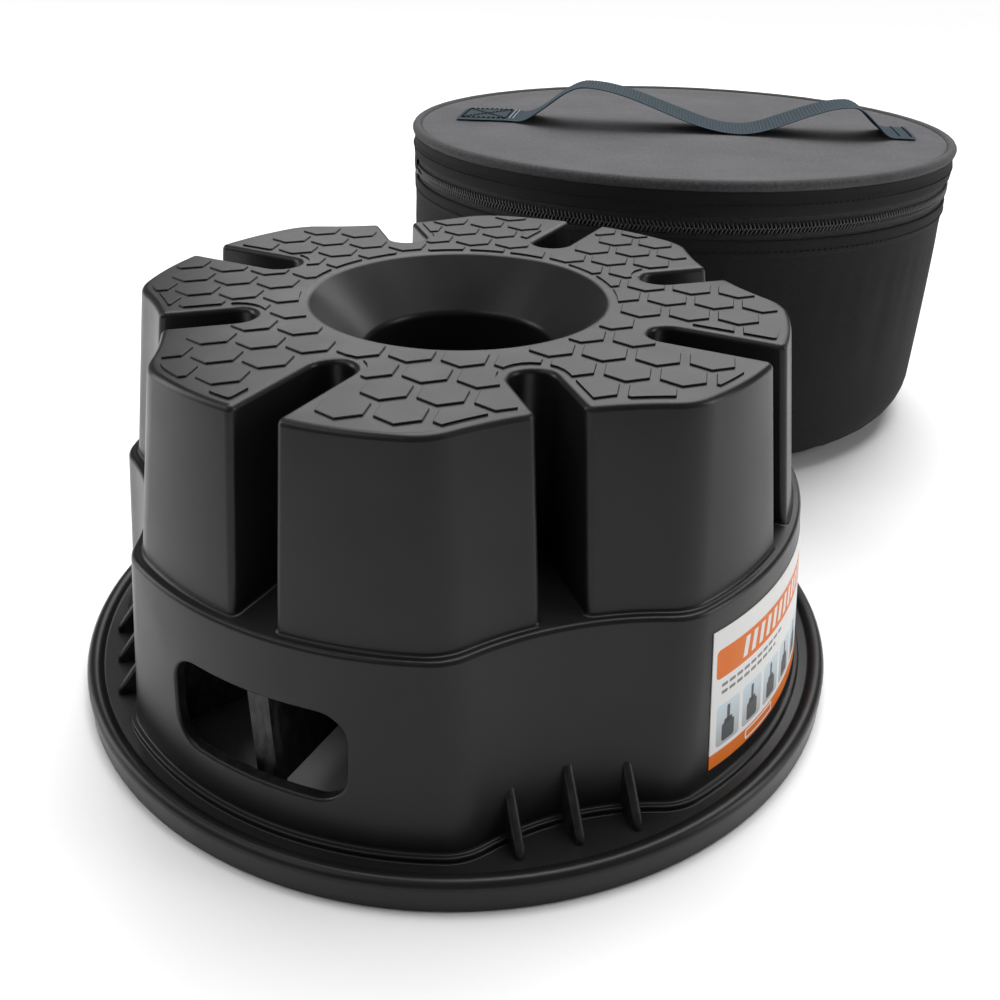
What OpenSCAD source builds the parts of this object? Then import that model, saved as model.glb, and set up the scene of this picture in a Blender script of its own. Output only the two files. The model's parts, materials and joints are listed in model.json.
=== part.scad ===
// Leveling block set: a hollow, ribbed jack block and the round zipped bag it is carried in.
// Origin: centre of the block on the ground. +Z up, -Y is the side with the front hand hole.

/* [Block] */
// Height of the block
block_h = 145; // [135:1:155]
// Outer radius of the base flange
flange_r = 150; // [148:0.5:152]
// Wall thickness of the moulding
wall = 4; // [3:0.5:5]
// Radius of the round wall arcs at the foot, above the plinth
foot_r = 137.6; // [136.5:0.1:139]
// Radius of the round wall arcs at the ledge
ledge_r = 130.3; // [129:0.1:132]
// Radius of the upper tier's arcs where they rise from the ledge
upper_r = 126.8; // [125:0.1:128]
// Radius of the upper tier's arcs at the top
top_r = 117; // [115:0.5:119]
// Height of the ledge between the two tiers
ledge_z = 80; // [72:1:88]
// Distance of each hollowed side from the axis at the foot
hollow_foot = 125.9; // [124.5:0.1:127]
// Distance of each hollowed side from the axis at the ledge
hollow_ledge = 117.6; // [116:0.1:119]
// Distance of the upper tier's hollowed sides from the axis at the ledge
hollow_upper = 114.1; // [112:0.1:115]
// Distance of the upper tier's hollowed sides from the axis at the top
hollow_top = 103.6; // [102:0.1:105]

// Width of the small plinth that the wall stands on
plinth_w = 2.2; // [1.5:0.1:2.6]

/* [Jack socket and slots] */
// Radius of the dish at the top deck
dish_r = 54; // [50:0.5:58]
// Radius of the straight socket below the dish
socket_r = 35; // [30:0.5:38]
// Height at which the dish runs into the socket
dish_z = 126; // [120:1:130]
// Width of the eight slots
slot_w = 15; // [12:0.5:18]
// Distance of a slot's inner end from the axis
slot_in = 72.7; // [70:0.1:76]
// Thickness of the inner ribs
rib_t = 3; // [2.5:0.5:4]
// Height of the ribs' lower edge, which leaves the stacking recess below them
rib_z = 14; // [10:1:18]

/* [Hand holes] */
// Width of a hand hole
hand_w = 66; // [56:1:70]
// Height of a hand hole
hand_h = 32; // [28:1:36]
// Height of a hand hole's centre
hand_z = 42.5; // [40:0.5:46]
// Corner radius of a hand hole
hand_corner = 10; // [6:1:13]
// Width of the post behind each hand hole
post_w = 8; // [6:1:10]

/* [Bag] */
// Outer radius of the bag
bag_r = 157; // [156:0.5:160]
// Sideways place of the bag's centre behind the block
bag_x = -24; // [-30:1:-10]
// Distance of the bag's centre behind the block
bag_y = 312; // [312:1:330]
// Turn of the bag about its own axis, hinge panel to the left rear
bag_turn = 18; // [10:1:30]
// Radius of the bag's rounded bottom corner
corner_r = 26; // [20:1:32]
// Height of the side panel's upper hem
side_h = 130; // [128:0.5:131]
// Half of the angle that the hinge panel covers
panel_half = 20; // [18:1:34]
// Height of the zip's centre line
zip_z = 136; // [136:0.5:137]
// Height of the lid's lower hem
lid_z = 142; // [142:0.5:143]
// Top of the lid's outer fabric
lid_top = 157.3; // [157:0.1:160]
// Radius of the piping bead
piping_r = 2.4; // [2:0.1:2.6]
// Width of the webbing handle
strap_w = 38; // [30:1:42]
// Thickness of the webbing
strap_t = 1.4; // [1:0.1:1.8]

/* [Hidden] */

$fn = 120;
eps = 0.05;

// Block: where the cones that shape the hollowed sides stand, and the levels of its features
cutter_d = 225;
shelf_z = 9.8;
plinth_z = 11.8;
flange_t = 3.8;
deck_t = 5;
rim_h = 12;
ring_rib_r = 88;
post_y = 128.5;
post_t = 4.5;
gusset_t = 4;
gusset_gap = 20;
gusset_out = 138;
gusset_top = 30;
label_half = 24;
label_z0 = 18;
label_z1 = 71;
label_t = 0.3;

// Bag: the layers of its walls, from the outside in
fabric_t = 1.1;
foam_t = 3.4;
lining_t = 0.7;
layer_gap = 0.1;
foam_in = fabric_t + layer_gap;
lining_in = foam_in + foam_t + layer_gap;
wall_in = lining_in + lining_t;
tape_in = foam_in;
tape_t = 0.8;
tape_lap = 6;
chain_t = 1.5;
chain_h = 2.4;
chain_gap = 1;
zip_half = 180 - panel_half;
stop_angle = 0.7;
stop_gap = 0.1;
slider_at = zip_half - 3;
slider_len = 11;
slider_h = 8.4;
chain_end = slider_at - 2.6;
piping_z = lid_top - 1.5;
piping_at = bag_r - 1.6;
lid_r = piping_at - piping_r - layer_gap;
base_r = bag_r - corner_r - layer_gap;

// Slider and pull: radii of the slider's two plates and of the bar that the pull turns on
front_plate_r = bag_r - fabric_t + chain_t + 0.4;
back_plate_r = bag_r - tape_in - tape_t - 0.3;
plate_t = 1.2;
bridge_r = front_plate_r + plate_t;
bridge_rise = 3.6;
bridge_len = 7;
bridge_w = 2;
bridge_hole_r = 0.85;
pull_axis_r = bridge_r + 1.6;
pull_bar_r = 0.8;
pull_len = 28;
pull_w = 7;
pull_t = 1.4;

// Handle: where its sewn ends, crests and dip lie along its length, and how high it stands
strap_end_l = -131;
strap_sewn_l = -96;
crest_l = -55;
dip = 36;
crest_r = 98;
strap_sewn_r = 124;
strap_end_r = 135;
crest_l_h = 21;
crest_r_h = 16;

plastic = [0.10, 0.10, 0.105];
fabric = [0.13, 0.13, 0.14];
cloth_edge = [0.09, 0.09, 0.1];
foam = [0.3, 0.3, 0.32];
lining = [0.18, 0.18, 0.2];
zip_black = [0.05, 0.05, 0.05];
webbing = [0.07, 0.1, 0.15];

// ---------------------------------------------------------------- block

// Value at height z on the line through (z0, a) and (z1, b)
function along(z, z0, a, z1, b) = a + (b - a) * (z - z0) / (z1 - z0);
function lower_arc(z) = along(z, plinth_z, foot_r, ledge_z, ledge_r);
function lower_hollow(z) = along(z, plinth_z, hollow_foot, ledge_z, hollow_ledge);
function upper_arc(z) = along(z, ledge_z, upper_r, block_h, top_r);
function upper_hollow(z) = along(z, ledge_z, hollow_upper, block_h, hollow_top);

// A drafted tier from z0 to z1: a cone with a hollowed side every 90 degrees.
// in_r shrinks it by the wall thickness to make the cavity.
module tier(z0, z1, arc0, arc1, hollow0, hollow1, in_r = 0) {
    slope = (hollow1 - hollow0) / (z1 - z0);
    difference() {
        translate([0, 0, z0]) cylinder(h = z1 - z0, r1 = arc0 - in_r, r2 = arc1 - in_r);
        for (a = [45 : 90 : 315])
            rotate(a) translate([cutter_d, 0, z0 - 1])
                cylinder(h = z1 - z0 + 2,
                         r1 = cutter_d - hollow0 + slope + in_r,
                         r2 = cutter_d - hollow1 - slope + in_r);
    }
}

module lower_tier(z0, z1, in_r = 0) {
    tier(z0, z1, lower_arc(z0), lower_arc(z1), lower_hollow(z0), lower_hollow(z1), in_r);
}

module upper_tier(z0, z1, in_r = 0) {
    tier(z0, z1, upper_arc(z0), upper_arc(z1), upper_hollow(z0), upper_hollow(z1), in_r);
}

// One radial slot, open to the outside, with a round inner end
module slot(w, inner, z0, z1) {
    translate([inner + w / 2, 0, z0]) cylinder(h = z1 - z0, d = w, $fn = 48);
    translate([inner + w / 2, -w / 2, z0]) cube([flange_r, w, z1 - z0]);
}

module flange() {
    rotate_extrude()
        polygon([[100, 0], [flange_r - 1, 0], [flange_r, 1], [flange_r, 8.5],
                 [flange_r - 1.2, 11], [flange_r - 3.4, rim_h], [flange_r - 5.4, 11.4],
                 [flange_r - 7, shelf_z], [100, shelf_z]]);
}

// The space under the flange, between its outer lip and the wall
module flange_underside() {
    difference() {
        translate([0, 0, -1]) cylinder(h = shelf_z - flange_t + 1, r = flange_r - 3.5);
        lower_tier(-2, shelf_z);
    }
}

// Three gussets that brace one hollowed side against the flange
module gussets() {
    for (y = [-gusset_gap, 0, gusset_gap])
        translate([0, y + gusset_t / 2, 0]) rotate([90, 0, 0])
            linear_extrude(gusset_t)
                polygon([[118, shelf_z - 1], [gusset_out, shelf_z - 1], [gusset_out, shelf_z + 1.5],
                         [125, gusset_top], [118, gusset_top]]);
}

module ribs() {
    for (a = [0 : 22.5 : 337.5])
        if (a % 180 != 90)
            rotate(a) translate([socket_r + 1, -rib_t / 2, rib_z]) cube([flange_r, rib_t, block_h]);
    for (a = [90, 270]) {
        rotate(a) translate([socket_r + 1, -rib_t / 2, rib_z])
            cube([post_y - socket_r - 2, rib_t, block_h]);
        rotate(a) translate([post_y - post_t, -post_w / 2, rib_z]) cube([post_t, post_w, block_h]);
    }
    difference() {
        translate([0, 0, rib_z]) cylinder(h = block_h, r = ring_rib_r + rib_t / 2);
        translate([0, 0, rib_z - 1]) cylinder(h = block_h + 2, r = ring_rib_r - rib_t / 2);
    }
}

module socket_wall() {
    translate([0, 0, rib_z]) cylinder(h = block_h, r = socket_r + wall);
    translate([0, 0, dish_z - wall])
        cylinder(h = block_h - dish_z, r1 = socket_r + wall, r2 = dish_r + wall);
}

module cavity() {
    difference() {
        union() {
            lower_tier(-1, ledge_z - wall, wall);
            upper_tier(ledge_z - wall - 1, block_h - deck_t, wall);
        }
        for (a = [0 : 45 : 315])
            rotate(a) slot(slot_w + 2 * wall, slot_in - wall, ledge_z - wall, block_h);
        ribs();
        socket_wall();
    }
}

module dish_and_socket() {
    translate([0, 0, rib_z - 1]) cylinder(h = block_h, r = socket_r);
    translate([0, 0, dish_z])
        cylinder(h = block_h - dish_z + eps, r1 = socket_r, r2 = dish_r);
}

module hand_hole() {
    straight_w = hand_w / 2 - hand_corner;
    straight_h = hand_h / 2 - hand_corner;
    translate([0, -flange_r - 10, hand_z]) rotate([-90, 0, 0]) linear_extrude(flange_r - 110) {
        square([hand_w, 2 * straight_h], center = true);
        square([2 * straight_w, hand_h], center = true);
        for (x = [-straight_w, straight_w], y = [-straight_h, straight_h])
            translate([x, y]) circle(r = hand_corner, $fn = 48);
    }
}

module block_body() {
    color(plastic) difference() {
        union() {
            lower_tier(0, ledge_z);
            lower_tier(shelf_z - 1, plinth_z, -plinth_w);
            upper_tier(ledge_z - 1, block_h);
            flange();
            for (a = [45 : 90 : 315]) rotate(a) gussets();
        }
        flange_underside();
        cavity();
        dish_and_socket();
        for (a = [0 : 45 : 315]) rotate(a) slot(slot_w, slot_in, ledge_z, block_h + 1);
        hand_hole();
        rotate(180) hand_hole();
    }
}

// A sticker that follows the drafted wall on the +X side
module block_label() {
    reach = 160;
    color("white") intersection() {
        difference() {
            translate([0, 0, label_z0])
                cylinder(h = label_z1 - label_z0, r1 = lower_arc(label_z0) + label_t + eps,
                         r2 = lower_arc(label_z1) + label_t + eps);
            translate([0, 0, label_z0 - 1])
                cylinder(h = label_z1 - label_z0 + 2, r1 = lower_arc(label_z0 - 1) + eps,
                         r2 = lower_arc(label_z1 + 1) + eps);
        }
        translate([0, 0, label_z0 - 2]) linear_extrude(label_z1 - label_z0 + 4)
            polygon([[0, 0], [reach, -reach * tan(label_half)], [reach, reach * tan(label_half)]]);
    }
}

// ---------------------------------------------------------------- bag

module bag_place() {
    translate([bag_x, bag_y, 0]) rotate(bag_turn) children();
}

// A ring, or the part of one between angles from and to
module ring(inner, outer, z0, z1, from = 0, to = 360) {
    rotate(from) rotate_extrude(angle = to - from)
        translate([inner, z0]) square([outer - inner, z1 - z0]);
}

module disc(r, z0, t) {
    translate([0, 0, z0]) cylinder(h = t, r = r);
}

// Outline of the side, set in by a distance, from the base seam round the corner and up
function side_path(inset, top) =
    concat([for (a = [-90 : 9 : 0])
                [bag_r - corner_r + (corner_r - inset) * cos(a), corner_r + (corner_r - inset) * sin(a)]],
           [[bag_r - inset, top]]);

function reversed(list) = [for (i = [len(list) - 1 : -1 : 0]) list[i]];

module side_layer(inset, t, top) {
    bag_place() rotate_extrude()
        polygon(concat(side_path(inset, top), reversed(side_path(inset + t, top))));
}

module bag_side_outer() {
    color(fabric) side_layer(0, fabric_t, side_h);
}

module bag_side_foam() {
    color(foam) side_layer(foam_in, foam_t, side_h - tape_lap - 0.5);
}

module bag_side_lining() {
    color(lining) side_layer(lining_in, lining_t, side_h - 1);
}

module bag_base_outer() {
    color(fabric) bag_place() disc(base_r, 0, fabric_t);
}

module bag_base_board() {
    color(foam) bag_place() disc(base_r, foam_in, foam_t);
}

module bag_base_lining() {
    color(lining) bag_place() disc(base_r, lining_in, lining_t);
}

// Plain fabric between side and lid, left where the zip stops
module hinge_panel() {
    color(fabric) bag_place()
        ring(bag_r - fabric_t, bag_r, side_h + layer_gap, lid_z - layer_gap,
             180 - panel_half + 0.3, 180 + panel_half - 0.3);
}

module zip_tape(z0, z1) {
    color(cloth_edge) bag_place()
        ring(bag_r - tape_in - tape_t + 0.2, bag_r - tape_in + 0.1, z0, z1, -zip_half, zip_half);
}

module zip_chain(z0) {
    color(zip_black) bag_place()
        ring(bag_r - fabric_t, bag_r - fabric_t + chain_t, z0, z0 + chain_h,
             -zip_half + stop_angle + 2 * stop_gap, chain_end);
}

module zip_tape_lower() {
    zip_tape(side_h - tape_lap, zip_z - chain_gap / 2 - 0.1);
}

module zip_tape_upper() {
    zip_tape(zip_z + chain_gap / 2 + 0.1, lid_z + tape_lap);
}

module zip_chain_lower() {
    zip_chain(zip_z - chain_gap / 2 - chain_h);
}

module zip_chain_upper() {
    zip_chain(zip_z + chain_gap / 2);
}

// The stops at the two ends of the zip, both on the lower tape
module zip_end_stops() {
    color("gray") bag_place()
        for (a = [-zip_half + stop_gap, zip_half - stop_gap - stop_angle])
            ring(bag_r - fabric_t, bag_r - fabric_t + chain_t, zip_z - chain_gap / 2 - chain_h,
                 zip_z - chain_gap / 2, a, a + stop_angle);
}

module lid_top_outer() {
    color(fabric) bag_place() disc(lid_r, lid_top - fabric_t, fabric_t);
}

module lid_foam() {
    color(foam) bag_place() disc(lid_r, lid_top - foam_in - foam_t, foam_t);
}

module lid_lining() {
    color(lining) bag_place() disc(lid_r, lid_top - lining_in - lining_t, lining_t);
}

module lid_band() {
    color(fabric) bag_place()
        ring(bag_r - fabric_t, bag_r, lid_z, piping_z - piping_r - layer_gap);
}

module lid_band_foam() {
    color(foam) bag_place()
        ring(lid_r + layer_gap, bag_r - tape_in - tape_t + 0.1, lid_z + 0.5,
             piping_z - piping_r - layer_gap);
}

module lid_piping() {
    color(cloth_edge) bag_place() rotate_extrude() translate([piping_at, piping_z])
        difference() {
            circle(r = piping_r, $fn = 24);
            circle(r = piping_r / 2, $fn = 24);
        }
}

module lid_piping_cord() {
    color("white") bag_place() rotate_extrude() translate([piping_at, piping_z])
        circle(r = piping_r / 2 - 0.05, $fn = 20);
}

// Height of the webbing above the lid at a place along it
function ease(t) = t * t * (3 - 2 * t);
function rise(x, x0, x1, h) = h * ease(max(0, min(1, (x - x0) / (x1 - x0))));
function strap_lift(x) =
    x < dip ? min(rise(x, strap_sewn_l, crest_l, crest_l_h), rise(x, dip, crest_l, crest_l_h))
            : min(rise(x, dip, crest_r, crest_r_h), rise(x, strap_sewn_r, crest_r, crest_r_h));
function strap_slope(x) = (strap_lift(x + 0.1) - strap_lift(x - 0.1)) / 0.2;
function strap_side(x, t) =
    let (s = strap_slope(x), n = sqrt(1 + s * s))
        [x - t * s / n, lid_top + layer_gap / 2 + strap_lift(x) + t / n];

module handle_webbing() {
    xs = concat([strap_end_l], [for (x = [strap_sewn_l : 4 : strap_sewn_r]) x], [strap_end_r]);
    color(webbing) bag_place() translate([0, strap_w / 2, 0]) rotate([90, 0, 0])
        linear_extrude(strap_w)
            polygon(concat([for (x = xs) strap_side(x, 0)],
                           [for (x = reversed(xs)) strap_side(x, strap_t)]));
}

// Seam of thread across and along one sewn end of the webbing
module seam(x0, x1) {
    z = lid_top + layer_gap / 2 + strap_t + 0.02;
    in_y = strap_w / 2 - 3;
    for (x = [x0, x1 - 0.6]) translate([x, -in_y, z]) cube([0.6, 2 * in_y, 0.4]);
    for (y = [-in_y, in_y - 0.6]) translate([x0, y, z]) cube([x1 - x0, 0.6, 0.4]);
}

module handle_thread() {
    color("slategray") bag_place() {
        seam(strap_end_l + 2, strap_sewn_l - 1);
        seam(strap_sewn_r + 1.5, strap_end_r - 1.5);
    }
}

// Reinforcing patches sewn inside the lid under the two ends of the webbing
module handle_patches() {
    z = lid_top - lining_in - lining_t - layer_gap - 0.5;
    color(lining) bag_place() {
        translate([strap_end_l - 4, -strap_w / 2 - 4, z])
            cube([strap_sewn_l - strap_end_l + 8, strap_w + 8, 0.5]);
        translate([strap_sewn_r - 20, -strap_w / 2 - 4, z])
            cube([strap_end_r - strap_sewn_r + 24, strap_w + 8, 0.5]);
    }
}

// ---------------------------------------------------------------- zip slider and pull

// Puts its children on the outside of the bag at the slider, +X outwards and +Y along the zip
module at_slider() {
    bag_place() rotate(slider_at) children();
}

module slider_plate(inner, t) {
    half = slider_len / bag_r / 2 * 180 / PI;
    ring(inner, inner + t, zip_z - slider_h / 2, zip_z + slider_h / 2, -half, half);
}

module zip_slider() {
    color("dimgray") at_slider() difference() {
        union() {
            slider_plate(front_plate_r, plate_t);
            slider_plate(back_plate_r - plate_t, plate_t);
            translate([back_plate_r - 0.6, -2.5, zip_z - 0.3])
                cube([front_plate_r - back_plate_r + 1.2, 5, 0.6]);
            translate([bridge_r - 0.5, -bridge_len / 2, zip_z - bridge_w / 2])
                cube([bridge_rise + 0.5, bridge_len, bridge_w]);
        }
        translate([pull_axis_r, 0, zip_z - 2]) cylinder(h = 4, r = bridge_hole_r, $fn = 32);
    }
}

// Pull tab: a bar through the bridge, two arms and a flat tab lying back along the zip
module zip_pull() {
    arm_w = 1.6;
    arm_reach = 5;
    color("dimgray") at_slider() translate([pull_axis_r, 0, zip_z]) {
        translate([0, 0, -pull_w / 2]) cylinder(h = pull_w, r = pull_bar_r, $fn = 32);
        for (z = [-pull_w / 2, pull_w / 2 - arm_w])
            translate([-pull_t / 2, -arm_reach, z]) cube([pull_t, arm_reach, arm_w]);
        translate([-pull_t / 2, -pull_len, -pull_w / 2])
            cube([pull_t, pull_len - arm_reach + eps, pull_w]);
    }
}

block_body();
block_label();
bag_side_outer();
bag_side_foam();
bag_side_lining();
bag_base_outer();
bag_base_board();
bag_base_lining();
hinge_panel();
zip_tape_lower();
zip_chain_lower();
zip_end_stops();
lid_top_outer();
lid_foam();
lid_lining();
lid_band();
lid_band_foam();
lid_piping();
lid_piping_cord();
zip_tape_upper();
zip_chain_upper();
handle_webbing();
handle_thread();
handle_patches();
zip_slider();
zip_pull();
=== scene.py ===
"""Looks of the leveling block set: a ribbed jack block in moulded plastic and its padded, zipped bag.

Lengths are in millimetres and angles in degrees until a mesh is finished; Blender gets metres.
"""

import json
import math

import bmesh
import bpy
import numpy as np
from mathutils import Matrix, Vector


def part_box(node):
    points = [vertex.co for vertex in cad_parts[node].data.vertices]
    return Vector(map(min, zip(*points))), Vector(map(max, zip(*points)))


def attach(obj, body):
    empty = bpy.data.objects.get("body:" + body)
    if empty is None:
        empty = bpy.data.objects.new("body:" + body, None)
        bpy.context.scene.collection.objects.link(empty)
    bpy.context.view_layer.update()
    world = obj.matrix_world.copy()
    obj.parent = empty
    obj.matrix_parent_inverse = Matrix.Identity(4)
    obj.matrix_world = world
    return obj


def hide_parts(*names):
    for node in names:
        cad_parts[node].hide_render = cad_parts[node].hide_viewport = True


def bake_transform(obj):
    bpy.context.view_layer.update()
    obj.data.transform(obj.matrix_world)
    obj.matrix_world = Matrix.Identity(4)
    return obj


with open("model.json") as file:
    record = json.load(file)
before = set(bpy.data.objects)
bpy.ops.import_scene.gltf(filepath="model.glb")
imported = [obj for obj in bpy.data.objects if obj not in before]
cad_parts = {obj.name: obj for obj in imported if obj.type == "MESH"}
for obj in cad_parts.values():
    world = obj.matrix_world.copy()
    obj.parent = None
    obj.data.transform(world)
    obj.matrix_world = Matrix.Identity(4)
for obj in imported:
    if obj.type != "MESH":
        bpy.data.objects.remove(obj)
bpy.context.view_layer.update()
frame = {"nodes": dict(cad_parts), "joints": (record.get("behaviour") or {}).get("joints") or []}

# ---------------------------------------------------------------- values

MM = 0.001


def box_mm(node):
    """A CAD node's lowest and highest corner, in millimetres."""
    return [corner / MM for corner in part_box(node)]


def levels(node):
    """A CAD node's bottom and top, in millimetres."""
    return [corner.z for corner in box_mm(node)]


# Block: its two tiers' ends, each as (height, radius of the round arcs, distance of the hollowed sides)
BLOCK_H = box_mm("block_body")[1].z
FLANGE_R = box_mm("block_body")[1].x
LOWER_FOOT = (11.8, 137.6, 125.9)
LOWER_TOP = (80.0, 130.3, 117.6)
UPPER_FOOT = (80.0, 126.8, 114.1)
UPPER_TOP = (BLOCK_H, 117.0, 103.6)
CUTTER_D = 225.0
CORNER = 20.0
WALL = 4.0
DECK_T = 5.0
SHELF_Z = 9.8
LEDGE_Z = LOWER_TOP[0]
PLINTH_W = 2.2
TOP_ROUND, LEDGE_ROUND, FOOT_ROUND = 2.0, 1.6, 1.2
WALL_FILLET, PLINTH_ROUND, SHELF_FILLET = 0.8, 0.7, 0.6
BEAD_R, FLANGE_EDGE = 3.1, 1.1

# Radial slots: half width, the inner end's distance, and the rounding of the mouth
SLOT = (7.5, 72.7, 2.3)

# Dish and socket, with the roundings of the socket's lip and the dish's rim, and at the socket's foot
DISH_R, DISH_Z = 54.0, 126.0
SOCKET_R = 35.0
LIP_R, RIM_R, SOCKET_FOOT = 4.0, 3.0, 0.6

# Ribs inside, with how far they reach into the moulding above, and the posts behind the hand holes
RIB_Z = 14.0
RIB_T = 3.0
RIB_SUNK = 0.5
RING_RIB_R = 88.0
POST_Y = 128.5
POST_W, POST_DEPTH = 8.0, 4.5

# Gussets: their spacing, thickness and rounding, and a front edge from the shelf up, as (radius, height)
GUSSET_GAP = 20.0
GUSSET_T, GUSSET_NOSE = 3.5, 1.5
GUSSET_BACK = 117.0
GUSSET_FRONT = ((138.3, 9.2), (138.6, 11.0), (137.6, 12.8), (125.9, 28.2), (124.4, 30.2), (122.8, 31.0))

# Hand holes: half width, half height, corner radius, and the patch of wall round each of them
HAND_HALF = (33.0, 16.0, 10.0)
HAND_Z = 42.5
HAND_PATCH = 17.0
HAND_COLUMNS = 14
HAND_ROWS = [HAND_Z - 23.5 + 4.7 * row for row in range(11)]
LIP = 1.4

# Anti-slip pads: their net, their height, their margins on the deck, and the least area of one
PAD_PITCH = 16.75
PAD_GAP = 2.9
PAD_TURN = 16.3
PAD_CENTRE = (-0.9, -1.8)
PAD_H = 0.6
PAD_SUNK = 0.6
PAD_ROUND = 0.2
PAD_MARGIN = 1.9
PAD_DISH_MARGIN = 3.2
PAD_LEAST = 42.0

# Label
LABEL_LO, LABEL_HI = box_mm("block_label")
LABEL_R, LABEL_T = 134.0, 0.35
LABEL_HALF = math.degrees(math.asin(LABEL_HI.y / LABEL_HI.x))

# Bag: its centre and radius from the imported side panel, its turn from the lid's hinge
SIDE_LO, SIDE_HI = box_mm("bag_side_outer")
BAG_X = (SIDE_LO.x + SIDE_HI.x) / 2
BAG_Y = (SIDE_LO.y + SIDE_HI.y) / 2
BAG_R = (SIDE_HI.x - SIDE_LO.x) / 2
HINGE = next(joint for joint in frame["joints"] if joint["name"] == "lid_hinge")
BAG_TURN = math.degrees(math.atan2(HINGE["axis"][0], -HINGE["axis"][1]))
SIDE_H = SIDE_HI.z
LID_Z = box_mm("lid_band")[0].z
LID_TOP = box_mm("lid_top_outer")[1].z
ZIP_Z = HINGE["pos_m"][2] / MM
BAG_CORNER = 26.0
FABRIC_T, FOAM_T, LINING_T, LAYER_GAP = 1.1, 3.4, 0.7, 0.1
FOAM_IN = FABRIC_T + LAYER_GAP
LINING_IN = FOAM_IN + FOAM_T + LAYER_GAP
PIPING_R = 2.75
PIPING_AT = BAG_R - 1.6
PIPING_Z = LID_TOP - 1.5
LID_R = box_mm("lid_top_outer")[1].x - BAG_X
PANEL_HALF = 20.0
ZIP_HALF = 180.0 - PANEL_HALF
CHAIN_FROM, CHAIN_TO = -ZIP_HALF + 0.9, ZIP_HALF - 5.6
TAPE_IN, TAPE_OUT = FABRIC_T + 0.68, FABRIC_T + 0.02
BAND_FOAM_T = 2.1
BINDING_T = 0.4
AROUND = 180

# Zip coil: pitch, a tooth's path as (along, away from the middle, outwards) with its radii, and how far
# the teeth part at the chain's start
COIL_PITCH = 2.1
COIL_TOOTH = ((-0.95, 2.75, 0.45), (-0.5, 1.9, 0.95), (0.1, 0.7, 1.02), (0.5, -0.1, 0.9), (0.62, -0.45, 0.5))
COIL_SIZES = (0.3, 0.5, 0.52, 0.58, 0.3)
PARTED = 1.4

# Cloth: steps that it takes to settle, the net that the lid's cloth is worked out on, and the lid's crown
SETTLE_FRAMES = 20
LID_NET = 71
CROWN = 1.2

# Stitches: thread radius, and a stitch's rise and thickness from end to end as shares of it
THREAD_R = 0.33
STITCH_AT = np.array((-0.5, -0.3, 0, 0.3, 0.5))
STITCH_RISE = np.array((-0.8, 0.35, 0.6, 0.35, -0.8))
STITCH_SIZE = np.array((0.5, 0.95, 1, 0.95, 0.5))

# Handle
STRAP_W, STRAP_T = 38.0, 1.4
STRAP_ENDS = (-131.0, 135.0)
STRAP_SEWN = (-96.0, 124.0)
STRAP_CRESTS = ((-55.0, 21.0), (98.0, 16.0))
STRAP_DIP = 36.0
RIB_PITCH = 1.95
SEWN_IN = 3.0

# Camera: where it stands round the block's axis, and how it is turned
CAMERA_AZIMUTH, CAMERA_REACH, CAMERA_Z = 29.116, 360.3, 263.98
CAMERA_HEADING, CAMERA_PITCH, CAMERA_ROLL = 26.556, 29.535, 1.062
CAMERA_LENS = 36.99

# Light, in metres and watts: the sun, and each softbox's name, place, target, size and power
FLOOR_HALF = 9000
WORLD_LIGHT, WORLD_SEEN = 0.12, 1.0
SUN_STRENGTH, SUN_WIDTH, SUN_AHEAD = 3.5, 48, (0.06, -0.42, -1)
SOFTBOXES = (
    ("left", (-1.3, -0.35, 0.55), (0, 0, 0.08), (0.5, 0.9), 6),
    ("right", (1.5, 0.5, 0.6), (0.1, 0, 0.08), (0.4, 0.9), 7),
    ("back", (-0.55, 2.15, 1.45), (0, 0.1, 0.12), (2.8, 1.2), 28),
    ("front", (-0.6, -0.8, 1.3), (0, 0, 0.12), (1.3, 0.6), 4),
)


# ---------------------------------------------------------------- camera


def linked(name, data):
    """Puts a new object in the scene."""
    made = bpy.data.objects.new(name, data)
    bpy.context.scene.collection.objects.link(made)
    return made


def make_camera():
    """Puts the camera at the photograph's angle."""
    turn, pitch, roll, azimuth = (
        math.radians(a) for a in (CAMERA_HEADING, CAMERA_PITCH, CAMERA_ROLL, CAMERA_AZIMUTH)
    )
    level = Vector((math.cos(turn), math.sin(turn), 0))
    forward = Vector((-math.sin(turn), math.cos(turn), 0))
    ahead = forward * math.cos(pitch) - Vector((0, 0, math.sin(pitch)))
    upright = level.cross(ahead)
    right = level * math.cos(roll) + upright * math.sin(roll)
    up = upright * math.cos(roll) - level * math.sin(roll)
    place = Vector((CAMERA_REACH * math.sin(azimuth), -CAMERA_REACH * math.cos(azimuth), CAMERA_Z)) * MM
    data = bpy.data.cameras.new("camera")
    data.lens = CAMERA_LENS
    data.sensor_width = 36
    data.dof.use_dof = False
    camera = linked("camera", data)
    camera.matrix_world = Matrix.Translation(place) @ Matrix((right, up, -ahead)).transposed().to_4x4()
    bpy.context.scene.camera = camera


# ---------------------------------------------------------------- plane geometry


def polar(radius, angle):
    return radius * np.array((math.cos(math.radians(angle)), math.sin(math.radians(angle))))


def heading(v):
    """Direction of a plane vector, in degrees."""
    return math.degrees(math.atan2(v[1], v[0]))


def arc(centre, radius, start, end, steps):
    a = np.radians(np.linspace(start, end, steps + 1))
    return np.asarray(centre, float) + radius * np.column_stack((np.cos(a), np.sin(a)))


def curve(centre, radius, start, end, steps):
    """An arc's points as a list, for a profile."""
    return [tuple(p) for p in arc(centre, radius, start, end, steps)]


def line(start, end, steps):
    start, end = np.asarray(start, float), np.asarray(end, float)
    return start + np.linspace(0, 1, steps + 1)[:, None] * (end - start)


def joined(parts):
    """One run of points from several that meet end to end."""
    return np.vstack([parts[0]] + [part[1:] for part in parts[1:]])


def turned(points, angle):
    c, s = math.cos(math.radians(angle)), math.sin(math.radians(angle))
    return np.asarray(points, float) @ np.array(((c, s), (-s, c)))


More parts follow.
